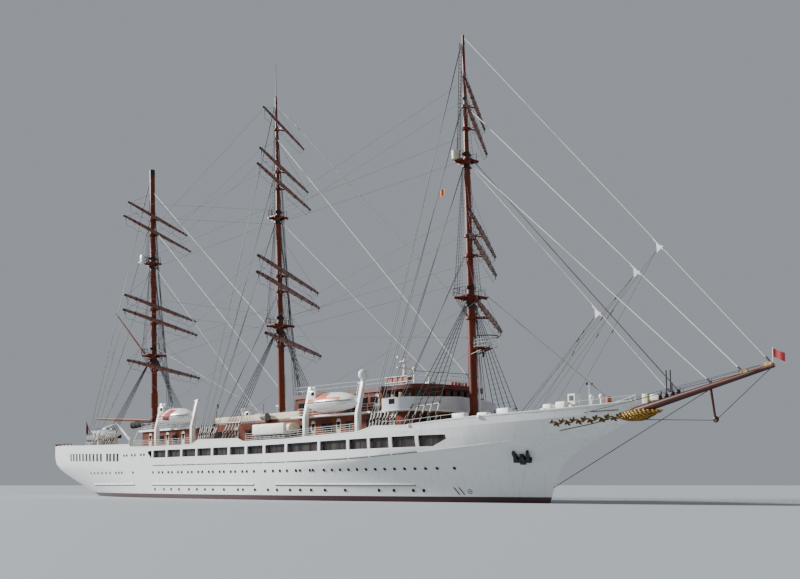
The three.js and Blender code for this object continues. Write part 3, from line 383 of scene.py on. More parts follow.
# Bulwark cap: a half-round steel rail, painted white and welded along the plating's top edge. It
# steps down beside the two houses, where the open rails stand.
BULWARK = [(-62.6, 8.62), (-56, 8.45), (-48.6, 8.32), (-40, 8.08), (-23.7, 7.82), (-23, 7.45), (-17, 7.33),
           (-6, 7.33), (-4.2, 7.94), (5.4, 7.8), (6.7, 7.38), (15.8, 7.4), (19.3, 7.54), (29.2, 7.8),
           (31.8, 8.34), (36.5, 8.26), (38, 8.4), (44.7, 8.85), (50, 9.12), (53.5, 9.3), (58, 9.65),
           (60.6, 9.95)]


cap = bmesh.new()
for side in (-1, 1):
    points = []
    for (x0, z0), (x1, z1) in zip(BULWARK, BULWARK[1:]):
        count = max(1, round((x1 - x0) / 1.5))
        for k in range(count):
            x = x0 + (x1 - x0) * k / count
            points.append((x, side * max(0.1, deck_edge(x) - 0.06), z0 + (z1 - z0) * k / count))
    x, z = BULWARK[-1]
    points.append((x, side * (deck_edge(x) - 0.06), z))
    path_bar(cap, points, 0.1)
place("bulwark_cap", cap, white_paint)

# Deck rails: white steel pipe on stanchions, welded along the low stretches of bulwark and round
# the house roofs, with one to four runs of pipe
AFT_ROOF = 10.05
BOAT_DECK = 10.2
BRIDGE_ROOF = 13.08


def between(table, x):
    for (x0, z0), (x1, z1) in zip(table, table[1:]):
        if x <= x1:
            return z0 + (z1 - z0) * (x - x0) / (x1 - x0)
    return table[-1][1]


def rail(bm, points, height=1.0, runs=4, radius=0.02, spacing=1.5):
    for a, b in zip(points, points[1:]):
        a, b = Vector(a), Vector(b)
        up = Vector((0, 0, height))
        for k in range(1, runs + 1):
            bar(bm, a + up * k / runs, b + up * k / runs, radius, sides=4)
        count = max(1, round((b - a).length / spacing))
        for k in range(count + 1):
            foot = a + (b - a) * k / count
            bar(bm, foot, foot + up, radius * 1.6, sides=4)


def on_bulwark(xs, side, inset):
    return [(x, side * (deck_edge(x) - inset), between(BULWARK, x)) for x in xs]


rails = bmesh.new()
for side in (-1, 1):
    rail(rails, on_bulwark(steps_between(-22.6, -6.2, 6), side, 0.15))
    rail(rails, on_bulwark(steps_between(7, 29.4, 8), side, 0.15))
    rail(rails, on_bulwark(steps_between(33, 44, 5), side, 0.2), height=0.55, runs=1)
    rail(rails, [(x, side * 6.2, AFT_ROOF) for x in (-24.1, -8.1)], runs=3)
    rail(rails, [(x, side * 6.4, BOAT_DECK) for x in (15.4, 30.1)], runs=3)
    rail(rails, [(x, side * 5.2, BRIDGE_ROOF) for x in (13.3, 30)], height=0.95, runs=2)
rail(rails, [(-24.1, y, AFT_ROOF) for y in (-6.2, 6.2)], runs=3)
place("deck_rails", rails, white_paint, hard_angle=60)

# Deck houses: varnished mahogany boarding over steel, pale arched doors and framed windows, and a
# white edge at each deck. The deep edge of the bridge roof is painted red-brown.
# Varnish over the wood mirrors the sky only a little, and the paints are of half gloss.
mahogany = finish("varnished_mahogany", "#76310F", 0.3, "#4E1D0A", 24, stretch=(1, 1, 0.15), specular=0.25)
door_cream = finish("cream_door_panel", "#D9D2BC", 0.4, "#C7BE9F", 40)
roof_paint = finish("red_brown_roof_paint", "#5E1F10", 0.4, "#4C170B", 60)
frame_wood = finish("dark_oiled_frame", "#4C2310", 0.4, "#3B1A0B", 30)
wing_paint = finish("pale_grey_bridge_paint", "#DADBE0", 0.4, "#C9CAD2", 200)
HOUSE_HALF = 6.1
UPPER_HALF = 5.2
# Each house's ends, half width, foot and head
HOUSES = {"deckhouse_aft": (-24, -8.2, HOUSE_HALF, 7.16, 9.85),
          "deckhouse_midship": (-4.2, 35.4, HOUSE_HALF, 7.2, 9.98),
          "deckhouse_upper": (13.2, 29.58, UPPER_HALF, 10.22, 12.56)}
DOORS = [-21.5, -16.5, -12.1, -9.6, 1.5, 11.5, 18.2, 23.1, 26.5, 32.6]
WINDOWS = [-19.5, -18.2, -14.6, -2.6, -0.8, 4.2, 6.0, 8.2, 14.0, 15.6, 20.3, 21.4, 24.9, 28.6, 30.0, 31.2]
UPPER_WINDOWS = [14.6, 16.6, 18.6, 20.6, 22.6, 24.6, 26.6, 28.4]


def block(bm, low, high):
    low, high = Vector(low), Vector(high)
    bmesh.ops.create_cube(bm, size=1, matrix=Matrix.LocRotScale((low + high) / 2, None, high - low))


for node, (x0, x1, half, z0, z1) in HOUSES.items():
    walls = bmesh.new()
    block(walls, (x0, -half, z0), (x1, half, z1))
    place(f"{node}_walls", walls, mahogany, replaces=[node])

frames = bmesh.new()
glass = bmesh.new()
doors = bmesh.new()


def standing_out(bm, x, y, z, half, height, out):
    """A thin block on a wall, standing out from it to the side that out points to."""
    block(bm, (x - half, min(y, y + out), z), (x + half, max(y, y + out), z + height))


def arched_door(x, y, z, side, width=0.85, height=1.75):
    standing_out(doors, x, y, z, width / 2, height, side * 0.05)
    turn = Matrix.Rotation(math.radians(90), 4, "X")
    bmesh.ops.create_cone(doors, cap_ends=True, segments=16, radius1=width / 2, radius2=width / 2, depth=0.1,
                          matrix=Matrix.Translation((x, y, z + height)) @ turn)
    standing_out(glass, x, y, z + height * 0.55, width * 0.28, height * 0.47, side * 0.075)


def window(x, y, z, side, width=0.9, height=0.8):
    standing_out(frames, x, y, z - 0.07, width / 2 + 0.07, height + 0.14, side * 0.05)
    standing_out(glass, x, y, z, width / 2, height, side * 0.09)


for side in (-1, 1):
    for x in DOORS:
        arched_door(x, side * HOUSE_HALF, deck_top(x) + 0.25, side)
    for x in WINDOWS:
        window(x, side * HOUSE_HALF, deck_top(x) + 1.15, side)
    for x in UPPER_WINDOWS:
        window(x, side * UPPER_HALF, 11.3, side, 1.1, 0.75)
    arched_door(29.0, side * UPPER_HALF, 10.35, side, 0.8, 1.6)
for y in steps_between(-4.2, 4.2, 6):
    block(glass, (35.38, y - 0.45, 8.75), (35.47, y + 0.45, 9.5))
place("house_doors", doors, door_cream)
place("house_window_frames", frames, frame_wood)
place("house_window_glass", glass, dark_glass)

edges = bmesh.new()
for side in (-1, 1):
    block(edges, (-24.4, side * 6.4 - 0.06, 9.78), (-7.8, side * 6.4 + 0.06, 10.06))
block(edges, (-24.4, -6.4, 9.86), (-7.8, 6.4, 10.03))
place("aft_house_roof_edge", edges, white_paint)
# The boat deck's side screens are lower in the photo than in the solids
boat_deck = cad_copy("boat_deck")
for v in boat_deck.verts:
    if v.co.z > 11 and v.co.x < 15.3:
        v.co.z = 11.02
place("boat_deck_plating", boat_deck, white_paint, replaces=["boat_deck"])
dress("bridge_wing_plating", "bridge_wings", wing_paint)
dress("wheelhouse_walls", "wheelhouse", mahogany)
dress("bridge_roof_sheet", "bridge_roof", roof_paint)


# Wheelhouse inside: tinted panes puttied in behind the window openings of the bowed front and of
# both sides, and a plain grey steel console that stands on the bridge deck
def front_point(corner, half, s):
    """A point of the bowed front's plan, from starboard (s = -1) to port (s = 1)."""
    return corner + 2.2 * (1 - abs(s) ** 3) ** 0.6, s * half


FRONT_POSTS = [-1] + [(0.09 + (k + 1) * 1.1356) / 5.2 - 1 for k in range(8)] + [1]
PANE_FOOT = 11.4
PANE_HEAD = 12.5
panes = bmesh.new()
for a, b in zip(FRONT_POSTS, FRONT_POSTS[1:]):
    panel(panes, front_point(34.37, 4.98, a), front_point(34.37, 4.98, b), PANE_FOOT, PANE_HEAD, 0.03)
for side in (-1, 1):
    panel(panes, (29.8, side * 5.02), (34.35, side * 5.02), PANE_FOOT, PANE_HEAD, 0.03)
place("bridge_panes", panes, finish("tinted_bridge_glass", "#2A2426", 0.1))
console = bmesh.new()
block(console, (33.3, -3.5, 10.35), (33.9, 3.5, 11.35))
place("bridge_console", console, finish("grey_console_paint", "#5C6266", 0.5, "#4D5357", 40))

# Bridge wing ends: a thin white lip welded on the bulwark, one dark square window at each end, and
# small cream lockers standing in the wings
WING_HALF = 7.85
wing_lip = bmesh.new()
wing_panes = bmesh.new()
wing_lockers = bmesh.new()
for side in (-1, 1):
    y = side * WING_HALF
    block(wing_lip, (32.85, min(y, y - side * 0.12), 11.36), (35.2, max(y, y - side * 0.12), 11.44))
    standing_out(wing_panes, 34.4, y, 10.75, 0.45, 0.55, side * 0.04)
    for x, tall in ((33.3, 11.9), (34.5, 12.1)):
        bar(wing_lockers, (x, side * 6.6, 10.21), (x, side * 6.6, tall), 0.2, sides=10)
lip = [front_point(35.14, 7.79, s) for s in steps_between(-0.98, 0.98, 13)]
path_bar(wing_lip, [(x, y, 11.75 - 0.35 * abs(y) / WING_HALF) for x, y in lip], 0.05)
place("wing_lip", wing_lip, white_paint)
place("wing_end_panes", wing_panes, dark_glass)
place("wing_lockers", wing_lockers, door_cream)

# Roof gear bolted over the bridge: a faded orange raft case on a white pipe frame, a post with a ball
# and a wire to the fore mast, and two runs of rail round the front with small orange lockers inside
orange = finish("faded_orange_paint", "#B5452E", 0.5, "#943723", 50)
black_wire = finish("black_iron_wire", "#222222", 0.6, "#2E2E2E", 20)
BALL_POST = (32.9, -3)
ROOF_RAIL = [(33.0, -4.2), (34.4, -4.4), (35.6, -3.6), (36.4, -2.4), (36.7, -1.0), (36.7, 1.0), (36.3, 2.6)]


def ball(bm, spot, radius, around=12, up=8):
    bmesh.ops.create_uvsphere(bm, u_segments=around, v_segments=up, radius=radius,
                              matrix=Matrix.Translation(spot))


raft = bmesh.new()
block(raft, (28.3, -3.3, 13.75), (32.1, -2.6, 14.3))
for k in range(5):
    block(raft, (35.9, -0.3 + 0.55 * k, 13.12), (36.2, 0.05 + 0.55 * k, 13.55))
place("raft_boxes", raft, orange)
gear = bmesh.new()
for x in steps_between(28.4, 32.0, 5):
    bar(gear, (x, -3.4, BRIDGE_ROOF), (x, -3.4, 14.35), 0.05)
for z in (13.4, 13.7, 14.35):
    bar(gear, (28.3, -3.4, z), (32.2, -3.4, z), 0.05)
bar(gear, (*BALL_POST, BRIDGE_ROOF), (*BALL_POST, 14.9), 0.1, sides=12)
ball(gear, (*BALL_POST, 15.1), 0.24, 16, 10)
for x, y in ROOF_RAIL:
    bar(gear, (x, y, BRIDGE_ROOF), (x, y, 14.3), 0.045)
for z in (13.6, 14.1):
    path_bar(gear, [(x, y, z) for x, y in ROOF_RAIL], 0.035, 4)
block(gear, (33.0, -1.4, BRIDGE_ROOF), (33.8, -0.4, 13.7))
bar(gear, (34.6, -2.2, BRIDGE_ROOF), (34.6, -2.2, 14.0), 0.18, sides=10)
place("roof_gear", gear, white_paint)
aerial = bmesh.new()
bar(aerial, (*BALL_POST, 14.88), (38.9, 0, 14.2), 0.03, sides=4)
place("roof_aerial", aerial, black_wire)
for node, piece_name in (("radar_mast", "radar_post"), ("satellite_dome", "aerial_dome"),
                         ("windlass", "anchor_windlass"), ("stern_crane", "boat_crane")):
    dress(piece_name, node, white_paint)
dress("radar_bar", "radar_scanner", white_paint, "radar_aerial")

# Lifeboats: closed hulls of moulded glass fibre with faded salmon patches, a small cabin aft, a grey
# gunwale and a grab line in loops, hanging in white gravity davits. Gelcoat comes off a polished
# mould, so it is the glossiest white on the ship.
boat_paint = finish("white_gelcoat", "#EFEFEA", 0.25, "#E2E3DE", 150)
grey_edge = finish("weathered_grey_paint", "#5F6567", 0.5, "#4E5456", 60)
BOATS = {"fore": 23.7, "aft": -11.8}
BOAT_Y = 7.4
BOAT_Z = 11.45
BOAT_HALF_LENGTH = 4.5
BOAT_HALF_BEAM = 1.45


def faded_canopy(name, patches):
    """White gelcoat with salmon patches, each given as its middle x and z and its half sizes."""
    material = finish(name, "#EFEFEA", 0.3)
    tree = material.node_tree
    where = add_node(tree, "ShaderNodeTexCoord")
    spot = add_node(tree, "ShaderNodeSeparateXYZ", {"Vector": where.outputs["Object"]})
    colour = linear("#EFEFEA")
    for x, z, reach, high in patches:
        along = add_node(tree, "ShaderNodeMath", {
            0: spot.outputs["X"], 1: x * SHIP, 2: reach * SHIP}, operation="COMPARE")
        level = add_node(tree, "ShaderNodeMath", {
            0: spot.outputs["Z"], 1: z * SHIP, 2: high * SHIP}, operation="COMPARE")
        inside = add_node(tree, "ShaderNodeMath", {
            0: along.outputs[0], 1: level.outputs[0]}, operation="MULTIPLY")
        blend = add_node(tree, "ShaderNodeMix", {
            0: inside.outputs[0], 6: colour, 7: linear("#D9765C")}, data_type="RGBA")
        colour = blend.outputs[2]
    tree.links.new(colour, tree.nodes["Principled BSDF"].inputs["Base Color"])
    return material


def boat_side(x, y, s, t, out, z):
    """A point just off a boat's side, from its stern (t = -1) to its bow (t = 1)."""
    half = BOAT_HALF_BEAM * (1 - abs(t) ** 3.2) ** 0.5
    return x + t * BOAT_HALF_LENGTH, y + s * (half + out), z


def grab_loop(x, y, s, number):
    """One of nine bights of line, tied up at both ends and hanging 0.28 m in between."""
    return [boat_side(x, y, s, -0.8 + 1.6 * (number + j / 4) / 9, 0.03,
                      BOAT_Z - 0.05 - 0.28 * math.sin(math.pi * j / 4)) for j in range(5)]


def soften(bm, offset, segments=2):
    bmesh.ops.bevel(bm, geom=bm.edges[:], offset=offset, segments=segments, affect="EDGES",
                    profile=0.5, material=-1)


boat_shells = {"fore": faded_canopy("fore_boat_gelcoat", [(22.6, 11.82, 3.6, 0.2), (22.2, 12.2, 1.5, 0.45)]),
               "aft": faded_canopy("aft_boat_gelcoat", [(-14.3, 11.85, 1.6, 0.22)])}
for name, x in BOATS.items():
    for side_name, side in SIDES.items():
        node = f"lifeboat_{name}_{side_name}"
        dress(f"{node}_shell", node, boat_shells[name], hard_angle=50)
        y = side * BOAT_Y
        gunwale = bmesh.new()
        grab_line = bmesh.new()
        for s in (-1, 1):
            path_bar(gunwale, [boat_side(x, y, s, t, 0.01, BOAT_Z + 0.12)
                               for t in steps_between(-0.9, 0.9, 13)], 0.06)
            for number in range(9):
                path_bar(grab_line, grab_loop(x, y, s, number), 0.02, 4)
        place(f"{node}_gunwale", gunwale, grey_edge)
        cabin = bmesh.new()
        block(cabin, (x - 3.8, y - 0.95, BOAT_Z + 0.5), (x - 2.3, y + 0.95, BOAT_Z + 1.6))
        soften(cabin, 0.12)
        place(f"{node}_cabin", cabin, boat_paint)
        pane = bmesh.new()
        block(pane, (x - 3.1, y - 0.97, BOAT_Z + 1.0), (x - 2.55, y + 0.97, BOAT_Z + 1.42))
        place(f"{node}_pane", pane, dark_glass)
        place(f"{node}_grab_line", grab_line, grey_edge)
        davit = f"davits_{name}_{side_name}"
        dress(f"{davit}_arms", davit, white_paint)

# Stowed boats beside the house: moulded white covers with soft edges, standing on chocks over dark
# winches, and a small round-ended cream locker ahead of each
cover_gel = finish("moulded_boat_cover", "#ECEBE4", 0.5, "#D8D7CF", 60)
covers = bmesh.new()
cream_lockers = bmesh.new()
winches = bmesh.new()
for side in (-1, 1):
    y0, y1 = sorted((side * 6.15, side * 7.9))
    block(covers, (7.65, y0, 8.2), (14.5, y1, 9.55))
    block(cream_lockers, (14.75, y0, 8.35), (15.95, y1, 9.5))
    for x in steps_between(8.0, 14.0, 7):
        block(winches, (x - 0.3, side * 7.3 - 0.25, 7.5), (x + 0.25, side * 7.3 + 0.25, 8.15))
    bar(winches, (7.7, side * 7.6, 7.75), (14.4, side * 7.6, 7.75), 0.1)
soften(covers, 0.14, 3)
soften(cream_lockers, 0.45, 3)
place("stowed_boat_covers", covers, cover_gel)
place("cream_lockers", cream_lockers, door_cream, hard_angle=60)
place("boat_winches", winches, finish("dark_winch_paint", "#33302E", 0.5, "#4A4542", 30))

# Tender on its two cradles: a moulded glass-fibre hull, white above and with its lower sides painted
# brown, standing by the crane on the starboard side
TENDER_Y = -5
dress("tender_hull", "work_boat", boat_paint)
lower = bmesh.new()
for y in (TENDER_Y - 0.95, TENDER_Y + 0.95):
    panel(lower, (-40.9, y), (-34.6, y), 9.3, 9.85, 0.12)
place("tender_lower_sides", lower, finish("brown_boat_paint", "#4A3428", 0.5, "#38271E", 40))


# Dodgers: cream canvas laced in pleats along the boat deck's side screens, with a dark red edging
# below and a pipe along the top, and a grey raft canister on a rack at each side
def woven(columns, rows, form):
    """A grid of cloth, each point moved to where form puts its share of the width and height."""
    bm = bmesh.new()
    bmesh.ops.create_grid(bm, x_segments=columns, y_segments=rows, size=0.5)
    for v in bm.verts:
        v.co = form(v.co.x + 0.5, v.co.y + 0.5)
    return bm


def cloth(name, bm, material, body="ship"):
    """A single sheet of cloth, placed as a piece on its body."""
    area = sum(face.calc_area() for face in bm.faces) * SHIP ** 2
    piece = place(name, bm, material, body, hard_angle=80)


# Woven canvas has no gloss. Its darker upright streaks are painted shade, like that in the creases of its
# pleats
cream_canvas = finish("cream_dodger_canvas", "#F0E4CB", 0.85, "#CDBFA2", 25,
                      stretch=(3, 1, 0.05), relief_mm=0.5)
edging_paint = finish("dark_red_edging", "#4A1A12", 0.5, "#38120C", 60)


def pleated(along, up, side):
    pleat = 0.06 * abs(math.sin(along * math.pi * 40)) ** 0.5 * math.sin(up * math.pi)
    return Vector((-4.35 + 19.5 * along, side * (6.0 + pleat), 10.25 + 0.78 * up))


dodger_edge = bmesh.new()
raft_case = bmesh.new()
for side_name, side in SIDES.items():
    dodger = woven(240, 4, lambda along, up: pleated(along, up, side))
    cloth(f"dodger_{side_name}", dodger, cream_canvas)
    block(dodger_edge, (-4.4, side * 6.0 - 0.05, 9.86), (15.2, side * 6.0 + 0.05, 10.22))
    bar(dodger_edge, (-4.4, side * 5.97, 11.05), (15.2, side * 5.97, 11.05), 0.03)
    block(dodger_edge, (8.2, side * 6.4 - 0.4, 9.9), (9.0, side * 6.4 + 0.4, 10.2))
    bar(raft_case, (8.1, side * 6.58, 10.62), (9.2, side * 6.58, 10.62), 0.45, sides=18)
    bar(raft_case, (8.3, side * 6.58, 11.0), (8.3, side * 6.58, 12.3), 0.04)
place("dodger_edging", dodger_edge, edging_paint)
place("raft_canister", raft_case, finish("grey_raft_case", "#6E6A66", 0.6, "#5A5652", 40))

# Tender's cover and gear: blue woven canvas laced over the boat's after end, and two grey boxes under
# their own covers ahead of it
blue_canvas = finish("blue_boat_canvas", "#3E4E86", 0.8, "#2F3C6B", 30, relief_mm=0.5)


def crowned(along, across):
    """The cover's form: highest along the middle, with shallow waves where it is laced."""
    x, out = -39.4 + 2.2 * (along - 0.5), 2 * across - 1
    return Vector((x, TENDER_Y + 1.08 * out, 10.66 + 0.42 * (1 - out ** 2) + 0.02 * math.sin(x * 9)))


cloth("tender_cover", woven(30, 10, crowned), blue_canvas)
tender_top = bmesh.new()
block(tender_top, (-38.1, TENDER_Y - 0.7, 10.5), (-36.6, TENDER_Y + 0.7, 11.0))
block(tender_top, (-36.2, TENDER_Y - 0.35, 10.4), (-35.3, TENDER_Y + 0.35, 10.9))
soften(tender_top, 0.12)
place("tender_console", tender_top, finish("grey_console_cover", "#A5A8AA", 0.5, "#8C8F92", 50))

# Red cloth: one light woven sheet thrown over the after end of each aft lifeboat, where it lies
# slanting on the boat's side
red_cloth = finish("bright_red_cloth", "#B3161B", 0.8, "#8F1015", 20, relief_mm=0.4)


def over_boat(down, wide, side, boat):
    """A point of the cloth, laid on the boat's side where there is one under it."""
    x, z = -11.5 - 1.3 * down + 1.6 * wide, BOAT_Z + 1.0 - 1.45 * down - 0.1 * wide
    hit = boat.ray_cast(Vector((x, side * 14, z)), Vector((0, -side, 0)))[0]
    return Vector((x, hit.y + side * (0.05 + 0.02 * math.sin(wide * 20)) if hit else side * 7.6, z))


for side_name, side in SIDES.items():
    boat = skin_of(f"lifeboat_aft_{side_name}")
    spare = woven(20, 6, lambda down, wide: over_boat(down, wide - 0.5, side, boat))
    cloth(f"red_boat_cloth_{side_name}", spare, red_cloth)

# Masts: riveted steel tubes painted red-brown, each with a planked top over the lower mast and
# crosstrees above, railed iron bands, dark collars and a white pipe up the fore side. The main mast
# ends in a thin pole. The mizzen has a thick casing above the boom and a black tip.
black_iron = finish("black_iron", "#1B1C1E", 0.5, "#2A2B2D", 30)
# Gloss paint is brushed along the spar, so its light and dark run lengthwise
spar_paint = finish("red_brown_spar_paint", "#74301A", 0.38, "#5E2412", 90, stretch=(1, 1, 0.3), specular=0.3)
dark_band = finish("dark_mast_fitting", "#2A1510", 0.5, "#1B1413", 30)
mast_iron = finish("painted_mast_band", "#5A2A1A", 0.45, "#3C2018", 30)
MAST_RADIUS = 0.475
# The height of the main mast's highest band, just under its thin pole
TRUCK = 56
# Each mast's x at the water, its rake, its foot, the height and radius where its taper changes, and
# the heights of its top and its crosstrees
MASTS = {
    "fore": (39.74, 0.0312, 8.0, [(22.9, 0.47), (24, 0.4), (38.8, 0.36), (40, 0.3), (54.0, 0.14)],
             22.9, 38.8),
    "main": (3.865, 0.0508, 10.2, [(23.7, 0.47), (24.8, 0.4), (39.1, 0.36), (40.3, 0.3), (56.8, 0.14),
                                   (57, 0.07), (61.8, 0.05)], 23.7, 39.1),
    "mizzen": (-30.53, 0.0649, 7.15, [(14.2, 0.475), (14.3, 0.6), (16.6, 0.6), (16.8, 0.475), (22.7, 0.475),
                                      (24, 0.46), (38, 0.45), (39.5, 0.44), (53.9, 0.42)], 22.7, 38.0),
}


def mast_x(name, z):
    x, rake = MASTS[name][:2]
    return x - rake * z


def on_mast(name, z, ahead=0.0, y=0.0):
    """A point at that height, on the mast's middle line or off it."""
    return Vector((mast_x(name, z) + ahead, y, z))


def mast_radius(name, z):
    below = (0, MAST_RADIUS)
    for step in MASTS[name][3]:
        if z <= step[0]:
            return below[1] + (step[1] - below[1]) * (z - below[0]) / (step[0] - below[0])
        below = step
    return below[1]


for name, (_, rake, foot, steps, lower_top, upper_top) in MASTS.items():
    # The height, half width and length of each platform
    platforms = ((lower_top, 1.7, 2.9), (upper_top, 1.15, 2.2))
    tube = bmesh.new()
    below = (foot + 0.05, MAST_RADIUS)
    for step in steps:
        bar(tube, on_mast(name, below[0]), on_mast(name, step[0]), below[1], step[1], 20)
        below = step
    for z, half, length in platforms:
        x = mast_x(name, z)
        block(tube, (x - length * 0.45, -half, z), (x + length * 0.4, half, z + 0.12))
        for y in (-0.4, 0.4):
            block(tube, (x - length * 0.42, y - 0.1, z - 0.35), (x + length * 0.4, y + 0.1, z))
        for at in (-0.35, 0.3):
            block(tube, (x + length * at - 0.08, -half, z - 0.16), (x + length * at + 0.08, half, z))
    place(f"mast_{name}_spar", tube, spar_paint, replaces=[f"mast_{name}"])
    bands = bmesh.new()
    for z in steps_between(foot + 2, min(steps[-1][0] - 1, TRUCK), 12):
        x = mast_x(name, z)
        bar(bands, (x, 0, z - 0.1), (x - rake * 0.2, 0, z + 0.1), mast_radius(name, z) + 0.03, sides=20)
    for z, half, length in platforms:
        after, ahead = mast_x(name, z) - length * 0.42, mast_x(name, z) + length * 0.25
        z, half = z + 0.12, half - 0.1
        rail(bands, [(after, -half, z), (after, half, z)], height=0.9, runs=2, radius=0.025, spacing=0.8)
        for y in (-half, half):
            rail(bands, [(after, y, z), (ahead, y, z)], height=0.9, runs=1, radius=0.025, spacing=0.8)
    place(f"mast_{name}_iron", bands, mast_iron)
    pipes = bmesh.new()
    for low, high, radius in ((foot + 1.2, 16.8, 0.1), (lower_top + 0.8, lower_top + 5.5, 0.05)):
        bar(pipes, on_mast(name, low, 0.45, 0.45), on_mast(name, high, 0.45, 0.45), radius, sides=8)
        for z in steps_between(low, high, 5):
            bar(pipes, on_mast(name, z, 0, 0.2), on_mast(name, z, 0.45, 0.45), 0.05)
    place(f"mast_{name}_pipes", pipes, white_paint, hard_angle=60)
    fittings = bmesh.new()
    for z in (lower_top - 1.2, lower_top + 0.9, upper_top - 0.9, upper_top + 0.6):
        x, radius = mast_x(name, z), mast_radius(name, z) + 0.04
        bar(fittings, on_mast(name, z), on_mast(name, z + 0.5), radius, sides=20)
        for y0, y1 in ((-radius * 1.6, -radius), (radius, radius * 1.6)):
            block(fittings, (x - 0.15, y0, z + 0.1), (x + 0.15, y1, z + 0.4))
    if name == "mizzen":
        bar(fittings, on_mast(name, 53.1), on_mast(name, 54.0), 0.45, sides=20)
    place(f"mast_{name}_fittings", fittings, dark_band, hard_angle=60)

# Gear aloft: a railed lookout of iron pipe before the fore mast with a searchlight under it, a cream
# drum at the fore crosstrees, a white box at the mizzen crosstrees and a small black lamp amidships
lookout = bmesh.new()
tray = bmesh.new()
pale_rails = bmesh.new()
mid = mast_x("fore", 17.3) + 2.2
ring = [(mid + 1.4 * math.cos(a), 1.4 * math.sin(a)) for a in steps_between(0, math.tau, 21)]
path_bar(lookout, [(x, y, 18.2) for x, y in ring], 0.06, 4)
for z in (17.1, 17.5, 17.85):
    path_bar(pale_rails, [(x, y, z) for x, y in ring], 0.03, 4)
for x, y in ring[::3]:
    bar(pale_rails, (x, y, 17.1), (x, y, 18.2), 0.03, sides=4)
for y in (-0.5, 0.5):
    bar(lookout, on_mast("fore", 16.4, 0.3, y), (mid + 1.1, y, 17.1), 0.07)
bmesh.ops.create_cone(tray, cap_ends=True, segments=24, radius1=0.55, radius2=0.9, depth=0.3,
                      matrix=Matrix.Translation((mid - 0.6, 0, 16.9)))
block(lookout, (mid - 0.8, -0.3, 16.0), (mid - 0.4, 0.1, 16.5))
bar(lookout, (mid - 0.6, -0.1, 16.4), (mid - 0.6, -0.1, 16.8), 0.06)
block(lookout, (-4.1, -5.98, 12.4), (-3.6, -5.7, 12.95))
bar(lookout, (-3.85, -5.86, 10.2), (-3.85, -5.86, 12.4), 0.05)
place("lookout_pale_rails", pale_rails, white_paint, hard_angle=60)
place("lookout_rails", lookout, black_iron, hard_angle=60)
place("lookout_tray", tray, mahogany)
drum = bmesh.new()
x = mast_x("fore", 39) - 0.6
bar(drum, (x, -1.2, 38.92), (x, -1.2, 39.9), 0.48, 0.5, 14)
place("crosstree_drum", drum, door_cream)
box = bmesh.new()
x = mast_x("mizzen", 38) - 0.75
block(box, (x - 0.3, -1.85, 38.2), (x + 0.3, -1.15, 39.35))
block(box, (x - 0.5, -2.1, 38.02), (x + 0.5, -0.9, 38.14))
soften(box, 0.05)
place("crosstree_camera_box", box, white_paint)

# Yards: round steel spars tapering to black-tipped arms, braced round to starboard. Each has a
# jackstay rail on top, a footrope in bights below on stirrups, and a truss back to its collar.
# Served wire is bound with tarred yarn, which makes it dark and dull.
dark_wire = finish("dark_served_wire", "#3F3B38", 0.6, "#2E2B29", 20)
BRACE = math.radians(35.9)
# Each yard's mast and name, its height, its length, how far it stands before the mast, its radius
YARDS = [
    ("fore", "course", 20.56, 22.4, 2.13, 0.3),
    ("fore", "lower_topsail", 27.72, 23.5, 1.65, 0.28),
    ("fore", "upper_topsail", 30.02, 23.3, 1.65, 0.27),
    ("fore", "lower_topgallant", 42.65, 19.5, 1.22, 0.24),
    ("fore", "upper_topgallant", 45.35, 16.6, 1.22, 0.22),
    ("main", "course", 20.94, 25.2, 2.13, 0.3),
    ("main", "lower_topsail", 28.52, 28.3, 1.65, 0.3),
    ("main", "upper_topsail", 30.73, 27.4, 1.65, 0.28),
    ("main", "lower_topgallant", 43.32, 24.0, 1.22, 0.25),
    ("main", "upper_topgallant", 45.77, 21.7, 1.22, 0.24),
    ("main", "royal", 51.99, 18.3, 1.22, 0.2),
    ("mizzen", "course", 20.32, 27.7, 2.13, 0.3),
    ("mizzen", "lower_topsail", 27.98, 28.4, 1.65, 0.28),
    ("mizzen", "upper_topsail", 30.33, 27.2, 1.65, 0.28),
    ("mizzen", "lower_topgallant", 42.83, 25.8, 1.22, 0.25),
    ("mizzen", "upper_topgallant", 45.41, 22.6, 1.22, 0.24),
]


def yard_place(mast, z):
    return Matrix.Translation((mast_x(mast, z), 0, z)) @ Matrix.Rotation(BRACE, 4, "Z")


def yard_collar(bm, inside):
    """The flat iron ring round the mast: a diamond section spun about the mast's middle line."""
    section = bmesh.ops.create_circle(
        bm, cap_ends=False, segments=4, radius=1,
        matrix=Matrix.Translation((inside + 0.13, 0, 0)) @ Matrix.Rotation(math.radians(90), 4, "X")
        @ Matrix.Diagonal((0.099, 0.226, 1, 1)) @ Matrix.Rotation(math.radians(45), 4, "Z"))["verts"]
    edges = list({edge for v in section for edge in v.link_edges})
    bmesh.ops.spin(bm, geom=section + edges, cent=(0, 0, 0), axis=(0, 0, 1), angle=math.tau, steps=20,
                   use_merge=True)
    bmesh.ops.recalc_face_normals(bm, faces=bm.faces)


def footrope(bm, x, y0, y1, last):
    """A bight of rope between two stirrups. The last one is made fast to the yard's arm."""
    points = [(x - 0.2, y0 + (y1 - y0) * k / 5, -0.95 - 0.18 * math.sin(math.pi * k / 5)) for k in range(6)]
    if last:
        points[-1] = (x, y1, -0.15)
    path_bar(bm, points, 0.022, 4)
    bar(bm, (x, y0, 0), (x - 0.2, y0, -0.95), 0.018, sides=4)


